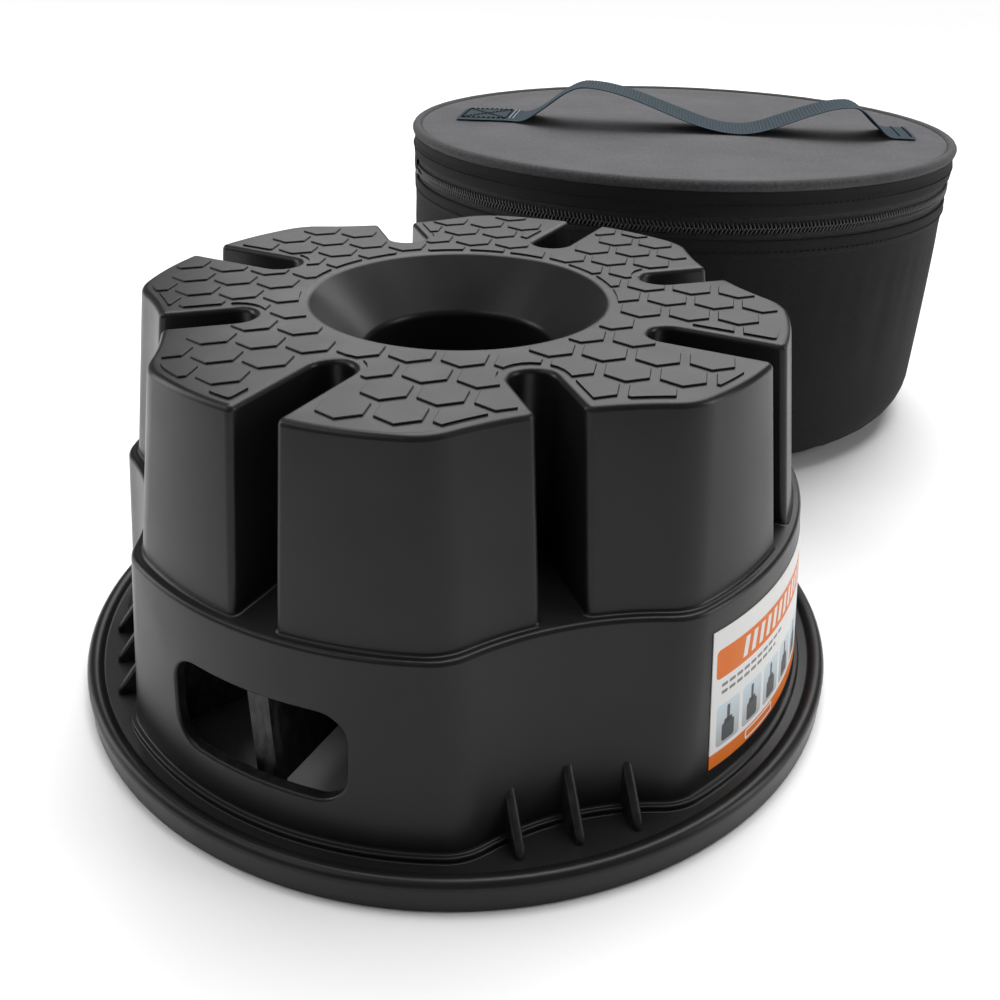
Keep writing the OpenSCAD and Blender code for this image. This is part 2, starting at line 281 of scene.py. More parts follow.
def quarter_turn(steps):
    """Angles from 0 to 90 degrees, in radians."""
    return np.radians(np.linspace(0, 90, steps + 1))


# ---------------------------------------------------------------- meshes


class Skin:
    """A mesh put together from loops of points, in millimetres."""

    def __init__(self):
        self.bm = bmesh.new()

    def loop(self, points, z=None):
        if z is not None:
            points = [(x, y, z) for x, y in points]
        return [self.bm.verts.new(p) for p in points]

    def strip(self, a, b, closed=True, keep=None):
        """Faces between two loops of the same length."""
        for i in range(len(a) if closed else len(a) - 1):
            if keep is None or keep(i):
                j = (i + 1) % len(a)
                self.bm.faces.new((a[i], a[j], b[j], b[i]))

    def strips(self, loops, closed=True):
        for a, b in zip(loops, loops[1:]):
            self.strip(a, b, closed)

    def bar(self, loops):
        """A closed solid through a row of loops."""
        self.strips(loops)
        self.bm.faces.new(loops[0])
        self.bm.faces.new(loops[-1])

    def fan(self, loop, point):
        """Closes a loop with a point."""
        tip = self.bm.verts.new(point)
        for a, b in zip(loop, loop[1:] + loop[:1]):
            self.bm.faces.new((a, b, tip))

    def fill(self, *loops):
        """A flat face between an outer loop and those within it."""
        edges = []
        for loop in loops:
            for a, b in zip(loop, loop[1:] + loop[:1]):
                edges.append(self.bm.edges.get((a, b)) or self.bm.edges.new((a, b)))
        bmesh.ops.triangle_fill(self.bm, use_beauty=True, use_dissolve=False, edges=edges)

    def shell(self, outer, inner, closed=True):
        """A closed sheet with thickness, between two grids of points."""
        out, within = [self.loop(row) for row in outer], [self.loop(row) for row in inner]
        self.strips(out, closed)
        self.strips(within, closed)
        self.strip(out[0], within[0], closed)
        self.strip(out[-1], within[-1], closed)
        if not closed:
            for side in (0, -1):
                self.strip([row[side] for row in out], [row[side] for row in within], closed=False)

    def disc(self, over, under, rim):
        """A closed disc: two grids that run from the middle outwards, and rows that round its rim."""
        top, bottom = [self.loop(row) for row in over[1:]], [self.loop(row) for row in under[1:]]
        self.fan(top[0], over[0][0])
        self.fan(bottom[0], under[0][0])
        self.strips(top + [self.loop(row) for row in rim] + bottom[::-1])

    def tube(self, path, radii, sides):
        """A round bar along a path, closed at both ends."""
        path = np.asarray(path, float)
        ahead = np.gradient(path, axis=0)
        ahead /= np.linalg.norm(ahead, axis=1)[:, None]
        any_way = (0.31, 0.52, 0.79)
        side = np.cross(ahead[0], any_way)
        rings = []
        for point, tangent, radius in zip(path, ahead, radii):
            side = side - tangent * (side @ tangent)
            side = side / np.linalg.norm(side)
            other = np.cross(tangent, side)
            a = np.radians(np.arange(sides) * 360 / sides)[:, None]
            rings.append(self.loop(point + radius * (np.cos(a) * side + np.sin(a) * other)))
        self.bar(rings)


def placed(name, skin, material):
    """Puts a skin in the scene as a mesh, in metres, with its faces turned outwards."""
    bmesh.ops.recalc_face_normals(skin.bm, faces=skin.bm.faces)
    bmesh.ops.scale(skin.bm, vec=(MM, MM, MM), verts=skin.bm.verts)
    mesh = bpy.data.meshes.new(name)
    skin.bm.to_mesh(mesh)
    skin.bm.free()
    mesh.materials.append(material)
    return linked(name, mesh)


def piece(name, skin, body, slot, material, stands_for=(), sharp=60, weighted=False):
    """Turns a skin into a piece that rides on a body; edges that bend more than sharp stay sharp."""
    made = placed(name, skin, material)
    made.data.shade_smooth()
    made.data.set_sharp_from_angle(angle=math.radians(sharp))
    if weighted:
        made.modifiers.new("normals", "WEIGHTED_NORMAL").keep_sharp = True
    if body:
        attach(made, body)
    if stands_for:
        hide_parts(*stands_for)
    return made


# ---------------------------------------------------------------- materials


class Finish:
    """A material and short ways to add its nodes."""

    def __init__(self, name, **sockets):
        self.material = bpy.data.materials.new(name)
        self.material.use_nodes = True
        self.tree = self.material.node_tree
        self.tree.nodes.clear()
        self.shader = self.tree.nodes.new("ShaderNodeBsdfPrincipled")
        output = self.tree.nodes.new("ShaderNodeOutputMaterial")
        self.tree.links.new(self.shader.outputs[0], output.inputs[0])
        for socket, value in sockets.items():
            self.shader.inputs[socket.replace("_", " ")].default_value = value
        self.place = self.tree.nodes.new("ShaderNodeTexCoord").outputs["Object"]

    def put(self, socket, value):
        if isinstance(value, bpy.types.NodeSocket):
            self.tree.links.new(value, socket)
        else:
            socket.default_value = value

    def math(self, operation, a, b=0.0, c=0.0):
        node = self.tree.nodes.new("ShaderNodeMath")
        node.operation = operation
        for socket, value in zip(node.inputs, (a, b, c)):
            self.put(socket, value)
        return node.outputs[0]

    def plus(self, a, b):
        return self.math("ADD", a, b)

    def less(self, a, b):
        return self.math("SUBTRACT", a, b)

    def times(self, a, b):
        return self.math("MULTIPLY", a, b)

    def axes(self):
        node = self.tree.nodes.new("ShaderNodeSeparateXYZ")
        self.put(node.inputs[0], self.place)
        return node.outputs

    def millimetres(self, value):
        return self.times(value, 1 / MM)

    def noise(self, size, detail=2.0, roughness=0.5, stretch=None):
        """Noise with features of about that many millimetres, from 0 to 1."""
        vector = self.place
        if stretch:
            mapping = self.tree.nodes.new("ShaderNodeMapping")
            self.put(mapping.inputs["Vector"], vector)
            mapping.inputs["Scale"].default_value = stretch
            vector = mapping.outputs[0]
        node = self.tree.nodes.new("ShaderNodeTexNoise")
        self.put(node.inputs["Vector"], vector)
        node.inputs["Scale"].default_value = 1 / (size * MM)
        node.inputs["Detail"].default_value = detail
        node.inputs["Roughness"].default_value = roughness
        return node.outputs[0]

    def spread(self, value, low, high, to_low, to_high):
        node = self.tree.nodes.new("ShaderNodeMapRange")
        self.put(node.inputs[0], value)
        for socket, number in zip(node.inputs[1:5], (low, high, to_low, to_high)):
            self.put(socket, number)
        return node.outputs[0]

    def between(self, noise, low, high):
        """Noise, most of which lies between 0.3 and 0.7, spread from low to high."""
        return self.spread(noise, 0.3, 0.7, low, high)

    def mix(self, share, a, b):
        node = self.tree.nodes.new("ShaderNodeMix")
        node.data_type = "RGBA"
        self.put(node.inputs["Factor"], share)
        for socket, colour in ((node.inputs[6], a), (node.inputs[7], b)):
            self.put(socket, (*colour, 1) if isinstance(colour, tuple) else colour)
        return node.outputs[2]

    def wave(self, value, pitch):
        """A sine along a value in millimetres."""
        return self.math("SINE", self.times(value, 2 * math.pi / pitch))

    def pointiness(self):
        return self.tree.nodes.new("ShaderNodeNewGeometry").outputs["Pointiness"]

    def bump(self, height, depth, strength=1.0, normal=None):
        """Bumps of about depth millimetres."""
        node = self.tree.nodes.new("ShaderNodeBump")
        node.inputs["Strength"].default_value = strength
        node.inputs["Distance"].default_value = depth * MM
        self.put(node.inputs["Height"], height)
        if normal:
            self.put(node.inputs["Normal"], normal)
        return node.outputs[0]

    def round_the_bag(self):
        """Distance round the bag's wall and height, in millimetres."""
        x, y, z = self.axes()
        angle = self.math("ARCTAN2", self.less(y, BAG_Y * MM), self.less(x, BAG_X * MM))
        return self.times(angle, BAG_R), self.millimetres(z)

    def across_the_lid(self):
        """Places along and across the handle, in millimetres."""
        x, y, z = self.axes()
        c, s = math.cos(math.radians(BAG_TURN)), math.sin(math.radians(BAG_TURN))
        along = self.math("MULTIPLY_ADD", x, c, self.times(y, s))
        across = self.math("MULTIPLY_ADD", y, c, self.times(x, -s))
        return self.millimetres(along), self.millimetres(across)

    def finish(self, colour=None, roughness=None, normal=None):
        for name, value in (("Base Color", colour), ("Roughness", roughness), ("Normal", normal)):
            if value is not None:
                self.put(self.shader.inputs[name], value)
        return self.material


def moulded_plastic(name, wear):
    """Black polypropylene: spark-eroded grain, flow clouds, and edges rubbed a little lighter by wear."""
    f = Finish(name, Specular_IOR_Level=0.24)
    clouds = f.between(f.noise(38, detail=3), 0, 1)
    colour = f.mix(clouds, (0.008, 0.008, 0.0082), (0.0115, 0.0115, 0.0118))
    rough = f.between(f.noise(22, detail=4), 0.30, 0.37)
    if wear:
        scuffs = f.noise(3.2, detail=5, roughness=0.65, stretch=(1, 1, 0.35))
        worn = f.times(f.spread(f.pointiness(), 0.52, 0.60, 0, wear), f.spread(scuffs, 0.42, 0.62, 0, 1))
        colour = f.mix(worn, colour, (0.06, 0.06, 0.061))
        rough = f.plus(rough, f.times(worn, 0.12))
    grain = f.bump(f.noise(0.55, detail=2, roughness=0.6), 0.03, 0.5)
    return f.finish(colour, rough, f.bump(f.noise(26, detail=1), 0.25, 0.2, grain))


def canvas(name, light, dark, wall, pitch=1.15):
    """Coated polyester canvas in a fine twill; wall says whether it runs round the bag or across the lid."""
    f = Finish(name, Specular_IOR_Level=0.2, Sheen_Weight=0.03, Sheen_Roughness=0.45)
    u, v = f.round_the_bag() if wall else f.across_the_lid()
    threads = f.wave(f.less(u, v), pitch * 0.62)
    height = f.math("MULTIPLY_ADD", threads, 0.4, f.wave(f.plus(u, v), pitch))
    slubs = f.noise(1.6, detail=3, roughness=0.7)
    clouds = f.less(f.noise(45, detail=3), 0.5)
    shade = f.math("MULTIPLY_ADD", height, 0.2, f.between(slubs, 0.1, 0.9))
    shade = f.math("MULTIPLY_ADD", clouds, 0.9, shade)
    colour = f.mix(f.spread(shade, 0, 1, 0, 1), dark, light)
    folds = f.bump(f.noise(55, detail=2), 2.2, 0.28)
    return f.finish(colour, f.between(slubs, 0.78, 0.91), f.bump(height, 0.07, 0.75, folds))


def lining_cloth():
    """Thin plain-weave lining with a faint shine."""
    f = Finish("bag_lining", Specular_IOR_Level=0.4, Sheen_Weight=0.1)
    x, y, z = f.axes()
    weave = f.times(*(f.wave(f.millimetres(f.plus(side, z)), 1.1) for side in (x, y)))
    colour = f.mix(f.noise(30, detail=3), (0.035, 0.036, 0.04), (0.06, 0.061, 0.066))
    creases = f.bump(f.noise(24, detail=2), 1.5, 0.3)
    return f.finish(colour, f.spread(weave, -1, 1, 0.5, 0.66), f.bump(weave, 0.05, 0.7, creases))


def open_foam(name, light, dark, size=0.9):
    """Padding foam or board: cells as pits."""
    f = Finish(name, Specular_IOR_Level=0.2)
    cells = f.noise(size, detail=3, roughness=0.7)
    colour = f.mix(f.spread(cells, 0.35, 0.65, 0, 1), dark, light)
    return f.finish(colour, f.between(cells, 0.95, 0.8), f.bump(cells, 0.3, 0.7))


def tape_weave():
    """Woven zip tape: ribs along it and fine threads across."""
    f = Finish("zip_tape", Specular_IOR_Level=0.3, Sheen_Weight=0.1)
    u, v = f.round_the_bag()
    ribs = f.wave(v, 1.05)
    height = f.math("MULTIPLY_ADD", f.wave(u, 0.8), 0.5, ribs)
    colour = f.mix(f.spread(height, -1.5, 1.5, 0, 1), (0.008, 0.008, 0.009), (0.022, 0.022, 0.024))
    return f.finish(colour, f.between(f.noise(3, detail=3), 0.75, 0.9), f.bump(height, 0.12, 0.8))


def nylon_coil():
    """Dyed nylon monofilament."""
    f = Finish("zip_chain", Specular_IOR_Level=0.5)
    colour = f.mix(f.between(f.noise(2.5), 0, 1), (0.012, 0.012, 0.013), (0.03, 0.03, 0.032))
    return f.finish(colour, f.between(f.noise(1.2, detail=3), 0.28, 0.45), f.bump(f.noise(0.5), 0.02, 0.5))


def enamelled_zinc():
    """Black enamel on cast zinc, rubbed to bare metal on its edges."""
    f = Finish("zip_metal", Specular_IOR_Level=0.5)
    scuffs = f.spread(f.noise(0.9, detail=4), 0.45, 0.6, 0, 1)
    rubbed = f.times(f.spread(f.pointiness(), 0.53, 0.6, 0, 1), scuffs)
    colour = f.mix(rubbed, (0.02, 0.02, 0.021), (0.32, 0.31, 0.3))
    f.put(f.shader.inputs["Metallic"], f.spread(rubbed, 0, 1, 0.25, 0.95))
    return f.finish(colour, f.between(f.noise(1.8, detail=3), 0.24, 0.4), f.bump(f.noise(1.1), 0.03, 0.4))


def ribbed_webbing():
    """Blue-black nylon webbing: warp threads over cross ribs, with painted highlights on the rib crests and
    painted shade in the grooves between them.
    """
    f = Finish("webbing", Specular_IOR_Level=0.12)
    along, across = f.across_the_lid()
    warp = f.wave(across, 1.5)
    threads = f.wave(f.math("MULTIPLY_ADD", warp, 0.25, along), RIB_PITCH / 2)
    height = f.math("MULTIPLY_ADD", threads, 0.5, warp)
    fuzz = f.noise(0.8, detail=3, roughness=0.7)
    # Painted highlight on the rib crests and painted shade in the grooves, from the mesh's pointiness, with a
    # random mottle from the fuzz.
    crest_highlight_and_fuzz = f.spread(f.pointiness(), 0.42, 0.58, 0, 1)
    crest_highlight_and_fuzz = f.math("MULTIPLY_ADD", f.less(fuzz, 0.5), 0.5, crest_highlight_and_fuzz)
    colour = f.mix(f.spread(crest_highlight_and_fuzz, 0, 1, 0, 1), (0.0015, 0.003, 0.005), (0.05, 0.078, 0.1))
    return f.finish(colour, f.between(fuzz, 0.72, 0.88), f.bump(height, 0.12, 0.7))


def twisted_thread(name, light, dark, gloss):
    """Plied sewing thread."""
    f = Finish(name, Specular_IOR_Level=gloss, Sheen_Weight=gloss)
    x, y, z = f.axes()
    plies = f.wave(f.millimetres(f.plus(f.plus(x, y), f.times(z, 1.7))), 0.55)
    colour = f.mix(f.spread(plies, -1, 1, 0, 1), dark, light)
    return f.finish(colour, f.between(f.noise(1.2), 0.75, 0.9), f.bump(plies, 0.06, 0.8))


def label_print():
    """A printed film: white, with orange bands, plain slanted bars and picture tiles, and no lettering."""
    f = Finish("label_film", Specular_IOR_Level=0.25)
    x, y, z = f.axes()
    u = f.times(f.math("ARCTAN2", y, x), LABEL_R)
    v = f.millimetres(z)
    left, low, high = -LABEL_R * math.radians(LABEL_HALF), LABEL_LO.z, LABEL_HI.z
    white, orange, ink = (0.72, 0.72, 0.71), (0.68, 0.15, 0.006), (0.025, 0.025, 0.027)
    blur = 0.12

    def patch(du, dv, half_u, half_v, corner):
        """1 inside a rounded rectangle, from the distances to its middle."""
        a = f.math("MAXIMUM", f.less(f.math("ABSOLUTE", du), half_u - corner), 0)
        b = f.math("MAXIMUM", f.less(f.math("ABSOLUTE", dv), half_v - corner), 0)
        away = f.math("SQRT", f.plus(f.times(a, a), f.times(b, b)))
        return f.spread(away, corner - blur, corner + blur, 1, 0)

    def repeat(value, start, pitch):
        """Distance to the middle of the nearest of a row of things, pitch apart."""
        return f.less(f.math("FLOORED_MODULO", f.less(value, start), pitch), pitch / 2)

    colour = f.mix(f.between(f.noise(40), 0, 0.06), white, (0.6, 0.6, 0.6))

    band_from, band_half, bar_pitch, bars = left + 2, 70, 5.2, 16
    band_v = f.less(v, high - 13)
    colour = f.mix(patch(f.less(u, band_from + band_half), band_v, band_half, 5.6, 1.8), colour, orange)
    slant = f.math("MULTIPLY_ADD", band_v, -0.22, u)
    bar = patch(repeat(slant, left + 16, bar_pitch), band_v, 1.35, 3.7, 0.3)
    row = patch(f.less(slant, left + 16 + bar_pitch * bars / 2), band_v, bar_pitch * bars / 2, 6, 1)
    colour = f.mix(f.times(bar, row), colour, white)

    for drop, reach in ((21.6, 42), (24.4, 36)):
        line_v = f.less(v, high - drop)
        dash = patch(repeat(u, left, 4.3), line_v, 1.75, 0.65, 0.5)
        row = patch(f.less(u, left + 5 + reach / 2), line_v, reach / 2, 2, 0.3)
        colour = f.mix(f.times(f.times(dash, row), 0.75), colour, ink)

    tile_pitch, tiles = 14.5, 7
    tile_u, tile_v = repeat(u, left + 2, tile_pitch), f.less(v, low + 15.5)
    row = patch(f.less(u, left + 2 + tile_pitch * tiles / 2), tile_v, tile_pitch * tiles / 2, 9, 0.1)
    tile = f.times(patch(tile_u, tile_v, 6.3, 8.2, 1.6), row)
    sky = f.mix(f.spread(tile_v, -8, 8, 0, 1), (0.36, 0.37, 0.38), (0.52, 0.62, 0.68))
    colour = f.mix(tile, colour, sky)
    block_neck_and_post = ((-3.4, 3.4, 3.6, 1.2), (0.6, 2.2, 1.0, 0.6), (3.4, 0.8, 3.2, 0.4))
    for rise, half_u, half_v, corner in block_neck_and_post:
        shape = patch(tile_u, f.less(tile_v, rise), half_u, half_v, corner)
        colour = f.mix(f.times(shape, tile), colour, ink)

    colour = f.mix(patch(u, f.less(v, low), 90, 5.6, 0.2), colour, orange)
    box_at = f.less(u, left + 30), f.less(v, low + 2.9)
    frame_line = f.less(patch(*box_at, 10, 2.0, 0.8), patch(*box_at, 9.3, 1.3, 0.5))
    colour = f.mix(frame_line, colour, white)
    return f.finish(colour, f.between(f.noise(9, detail=3), 0.42, 0.55), f.bump(f.noise(14), 0.12, 0.35))


PLASTIC = moulded_plastic("block_plastic", 0.7)
PAD_PLASTIC = moulded_plastic("pad_plastic", 0)
LABEL = label_print()
# The lid's top and the bag's other cloth are one canvas. The top's copy is made lighter as painted light from
# above. The copy for the sides, base, band and hinge panel is made darker as painted shade.
TOP_CANVAS_PAINTED_LIGHT = canvas("bag_canvas_top_painted_light", (0.115, 0.113, 0.119), (0.055, 0.054, 0.058), wall=False)
SIDE_CANVAS_PAINTED_SHADE = canvas("bag_canvas_side_painted_shade", (0.014, 0.014, 0.0142), (0.006, 0.006, 0.0062), wall=True)
PIPING = canvas("piping", (0.085, 0.085, 0.088), (0.035, 0.035, 0.037), wall=True, pitch=1.3)
LINING = lining_cloth()
FOAM = open_foam("bag_foam", (0.17, 0.17, 0.18), (0.06, 0.06, 0.065))
BOARD = open_foam("bag_board", (0.13, 0.13, 0.13), (0.08, 0.08, 0.08), size=0.4)
CORD = open_foam("piping_cord", (0.75, 0.74, 0.7), (0.5, 0.49, 0.46), size=0.6)
TAPE = tape_weave()
COIL = nylon_coil()
ZINC = enamelled_zinc()
WEBBING = ribbed_webbing()
LIGHT_THREAD = twisted_thread("thread_light", (0.42, 0.52, 0.62), (0.2, 0.27, 0.34), 0.3)
DARK_THREAD = twisted_thread("thread_dark", (0.013, 0.0133, 0.014), (0.005, 0.0052, 0.0056), 0.05)


# ---------------------------------------------------------------- block


def between(low, high, z):
    """Arc radius and hollowed side's distance at height z of a tier."""
    share = (z - low[0]) / (high[0] - low[0])
    return [a + (b - a) * share for a, b in zip(low[1:], high[1:])]


def lower(z):
    return between(LOWER_FOOT, LOWER_TOP, z)


def upper(z):
    return between(UPPER_FOOT, UPPER_TOP, z)


def eighth(arc_r, side_d, off=0.0, slot=None, corner=CORNER):
    """An outline from the middle of a round arc to the middle of a hollowed side, set in by off.

    slot, if any, is the half width, the inner end's distance and the mouth's rounding of a radial slot.
    """
    side_r = CUTTER_D - side_d
    k = polar(CUTTER_D, 45)
    reach = arc_r - corner
    apart = math.acos((reach**2 + CUTTER_D**2 - (side_r + corner) ** 2) / (2 * reach * CUTTER_D))
    bend_at = 45 - math.degrees(apart)
    f = polar(reach, bend_at)
    bend = arc(f, corner - off, bend_at, heading(k - f), 8)
    if slot is None:
        start = [arc((0, 0), arc_r - off, 0, HAND_PATCH, HAND_COLUMNS // 2)]
        start.append(arc((0, 0), arc_r - off, HAND_PATCH, bend_at, 4))
        return joined(start + [bend, arc(k, side_r + off, heading(f - k), -135, 8)])
    half, inner, mouth = slot
    end, wall = inner + half, half + off
    m1 = np.array((math.sqrt((arc_r - mouth) ** 2 - (half + mouth) ** 2), half + mouth))
    m2 = turned((CUTTER_D - math.sqrt((side_r + mouth) ** 2 - (half + mouth) ** 2), -half - mouth), 45)
    return joined([
        arc((end, 0), wall, 180, 90, 6),
        line((end, wall), (m1[0], wall), 6),
        arc(m1, mouth - off, -90, heading(m1), 4),
        arc((0, 0), arc_r - off, heading(m1), bend_at, 8),
        bend,
        arc(k, side_r + off, heading(f - k), heading(m2 - k), 8),
        arc(m2, mouth - off, heading(k - m2), 135, 4),
        line(m2 + polar(mouth - off, 135), turned((end, -wall), 45), 6),
        arc(turned((end, 0), 45), wall, -45, -135, 6),
    ])


def whole(points):
    """The whole outline from its first eighth."""
    quarter = np.vstack([points[:-1], points[::-1, ::-1][:-1]])
    return np.vstack([turned(quarter, 90 * q) for q in range(4)])


def circle(radius, steps=144):
    return arc((0, 0), radius, 0, 360, steps)[:-1]


def hand_outline(grow):
    """A hand hole's outline as (across, up) points, as many to a side as the patch round it has."""
    half_u, half_v, corner = (size + grow for size in HAND_HALF)
    straight_u, straight_v = half_u - corner, half_v - corner

    def side(x, y, start, run, steps):
        """Half a corner, a straight run and half a corner."""
        first = arc((x, y), corner, start, start + 45, 4)
        far = np.array((x, y)) + run
        last = arc(far, corner, start + 45, start + 90, 4)
        return joined([first, line(first[-1], last[0], steps), last])

    sides = [side(-straight_u, -straight_v, 225, (2 * straight_u, 0), 6),
             side(straight_u, -straight_v, 315, (0, 2 * straight_v), 2),
             side(straight_u, straight_v, 45, (-2 * straight_u, 0), 6),
             side(-straight_u, straight_v, 135, (0, -2 * straight_v), 2)]
    return np.vstack([part[:-1] for part in sides]) + (0, HAND_Z)


def hand_hole(skin, outer_rows, inner_rows, quarter, facing):
    """Joins the patches left open in the wall's outer and inner skins; facing is -1 on the -Y side."""
    columns = [quarter + c for c in range(-HAND_COLUMNS // 2, HAND_COLUMNS // 2 + 1)]

    def rim(rows):
        low, high, middle = rows[0], rows[-1], rows[1:-1]
        return ([low[c] for c in columns] + [row[columns[-1]] for row in middle]
                + [high[c] for c in columns[::-1]] + [row[columns[0]] for row in middle[::-1]])

    def on_wall(grow, off, depth):
        points = []
        for u, z in hand_outline(grow):
            out = math.sqrt((lower(z)[0] - off) ** 2 - u**2) - depth
            points.append((-facing * u, facing * out, z))
        return skin.loop(points)

    lips = [on_wall(LIP * (1 - math.sin(t)), 0, LIP * (1 - math.cos(t))) for t in quarter_turn(4)]
    skin.strips([rim(outer_rows)] + lips + [on_wall(0, WALL, 0), rim(inner_rows)])


def block_walls():
    """The moulding as one closed skin: deck, slotted upper tier, lower tier, flange, inside and socket."""
    s = Skin()
    turn = quarter_turn(5)

    def tier(outline_at, z, off=0.0, slot=None, level=None):
        """A tier's outline at height z, set in by off; its size is the one at level, or at z."""
        return s.loop(whole(eighth(*outline_at(z if level is None else level), off, slot)), z)

    def edge(outline_at, high, radius, slot=None):
        """A tier's rounded top edge."""
        drops = [(radius * (1 - math.cos(t)), radius * (1 - math.sin(t))) for t in turn]
        return [tier(outline_at, high - drop, off, slot) for drop, off in drops]

    def fillet(off, z, radius):
        """Places of a foot's hollow rounding, from the wall above it outwards."""
        return [(off - radius * (1 - math.cos(t)), z + radius * (1 - math.sin(t))) for t in turn]

    upper_out = edge(upper, BLOCK_H, TOP_ROUND, SLOT)
    wall = np.linspace(BLOCK_H - TOP_ROUND, LEDGE_Z + FOOT_ROUND, 9)[1:-1]
    upper_out += [tier(upper, z, 0, SLOT) for z in wall]
    upper_out += [tier(upper, z, off, SLOT) for off, z in fillet(0, LEDGE_Z, FOOT_ROUND)]
    s.strips(upper_out)

    lower_out = edge(lower, LEDGE_Z, LEDGE_ROUND)
    s.fill(upper_out[-1], lower_out[0])
    lower_out += [tier(lower, z) for z in (74.5, 70)]
    hand_out = [tier(lower, z) for z in HAND_ROWS[::-1]]
    foot_z = LOWER_FOOT[0]
    below = [tier(lower, z) for z in (15.5, foot_z + WALL_FILLET)]
    steps = fillet(0, foot_z, WALL_FILLET)[1:]
    for t in turn:
        off = -PLINTH_W + PLINTH_ROUND * (1 - math.sin(t))
        steps.append((off, foot_z - PLINTH_ROUND * (1 - math.cos(t))))
    steps += fillet(-PLINTH_W, SHELF_Z, SHELF_FILLET)
    below += [tier(lower, z, off, level=foot_z) for off, z in steps]
    s.strips(lower_out + hand_out[:1])
    s.strips(hand_out[-1:] + below)

    columns = len(hand_out[0])
    quarter = columns // 4
    span = range(-HAND_COLUMNS // 2, HAND_COLUMNS // 2)
    patches = {(q * quarter + c) % columns for q in (1, 3) for c in span}
    for a, b in zip(hand_out, hand_out[1:]):
        s.strip(a, b, keep=lambda i: i not in patches)

    bead = [(FLANGE_R - 6.8, SHELF_Z), (FLANGE_R - 6.25, SHELF_Z + 0.12)]
    bead += curve((FLANGE_R - BEAD_R, SHELF_Z - 0.9), BEAD_R, 150, 0, 12) + [(FLANGE_R, 4.5)]
    bead += curve((FLANGE_R - FLANGE_EDGE, FLANGE_EDGE), FLANGE_EDGE, 0, -90, 4)
    bead += curve((FLANGE_R - 2.5, 1.0), 1.0, -90, -180, 4) + curve((FLANGE_R - 4.5, 5.0), 1.0, 0, 90, 4)
    flange = [s.loop(circle(r), z) for r, z in bead]
    s.fill(below[-1], flange[0])
    s.strips(flange)

    under = [tier(lower, bead[-1][1]), tier(lower, WALL_FILLET), tier(lower, 0, WALL_FILLET)]
    under += [tier(lower, 0, WALL - WALL_FILLET), tier(lower, WALL_FILLET, WALL)]
    s.fill(flange[-1], under[0])
    hand_in = [tier(lower, z, WALL) for z in HAND_ROWS]
    s.strips(under + [tier(lower, 10, WALL), hand_in[0]])
    for a, b in zip(hand_in, hand_in[1:]):
        s.strip(a, b, keep=lambda i: i not in patches)
    ceiling = tier(lower, LEDGE_Z - WALL, WALL)
    s.strip(hand_in[-1], ceiling)
    for q, facing in ((1, 1), (3, -1)):
        hand_hole(s, hand_out[::-1], hand_in, q * quarter, facing)

    inner_slot = (SLOT[0] + WALL, SLOT[1] - WALL, 1.0)
    upper_in = []
    for z in (LEDGE_Z - WALL, 110, BLOCK_H - DECK_T):
        arc_r, side_d = upper(z)
        outline = eighth(arc_r - WALL, side_d - WALL, 0, inner_slot, CORNER - WALL)
        upper_in.append(s.loop(whole(outline), z))
    s.fill(ceiling, upper_in[0])
    s.strips(upper_in)

    tube, foot = SOCKET_R + WALL, SOCKET_FOOT
    profile = [(DISH_R + 3, BLOCK_H - DECK_T), (tube, DISH_Z - WALL), (tube, RIB_Z + foot)]
    profile += [(tube - foot, RIB_Z), (SOCKET_R + foot, RIB_Z), (SOCKET_R, RIB_Z + foot)]
    profile += [(SOCKET_R, z) for z in (60, 100)]
    lip_reach, rim_reach = (r * math.tan(math.radians(22.5)) for r in (LIP_R, RIM_R))
    profile += curve((SOCKET_R + LIP_R, DISH_Z - lip_reach), LIP_R, 180, 135, 6)
    profile += [(SOCKET_R + out, DISH_Z + out) for out in (7, 13)]
    profile += curve((DISH_R + rim_reach, BLOCK_H - RIM_R), RIM_R, 135, 90, 6)
    socket = [s.loop(circle(r), z) for r, z in profile]
    s.fill(upper_in[-1], socket[0])
    s.strips(socket)
    s.fill(upper_out[0], socket[-1])
    return s


def rib(skin, angle, profile):
    """A flat rib from a profile of (radius, height) points."""
    sides = [[(*turned((r, y), angle), z) for r, z in profile] for y in (-RIB_T / 2, RIB_T / 2)]
    skin.bar([skin.loop(side) for side in sides])


def block_ribs():
    """Radial ribs, the ring rib between the slots, and the posts behind the hand holes."""
    s = Skin()
    ledge, deck = LEDGE_Z - WALL + RIB_SUNK, BLOCK_H - DECK_T + RIB_SUNK
    tube, bite = SOCKET_R + WALL - 1, WALL - 1
    for n in range(16):
        side = int(n % 4 == 2)
        outer = [(lower(z)[side] - bite, z) for z in (RIB_Z, ledge)]
        if n in (4, 12):
            outer = [(POST_Y - RIB_T, z) for z in (RIB_Z, ledge)]
        top = [(SLOT[1], ledge), (SLOT[1], deck)]
        if n % 2:
            top = [(upper(ledge)[0] - bite - 0.2, ledge), (upper(deck)[0] - bite - 0.6, deck)]
        dish = [(DISH_R + 2.3, deck), (tube, DISH_Z - WALL - 1)]
        rib(s, n * 22.5, [(tube, RIB_Z)] + outer + top + dish)
    inner, outer = RING_RIB_R - RIB_T / 2, RING_RIB_R + RIB_T / 2
    for n in range(8):
        for start, end, high in ((7.3, 37.7, deck), (-7.6, 7.6, ledge)):
            corners = [(inner, RIB_Z), (outer, RIB_Z), (outer, high), (inner, high)]
            angles = np.linspace(start, end, 9) + 45 * n
            s.bar([s.loop([(*polar(r, a), z) for r, z in corners]) for a in angles])
    half = POST_W / 2
    for facing in (-1, 1):
        near, far = facing * (POST_Y - POST_DEPTH), facing * POST_Y
        post = [(-half, near), (half, near), (half, far), (-half, far)]
        s.bar([s.loop(post, z) for z in (RIB_Z, ledge)])
    return s


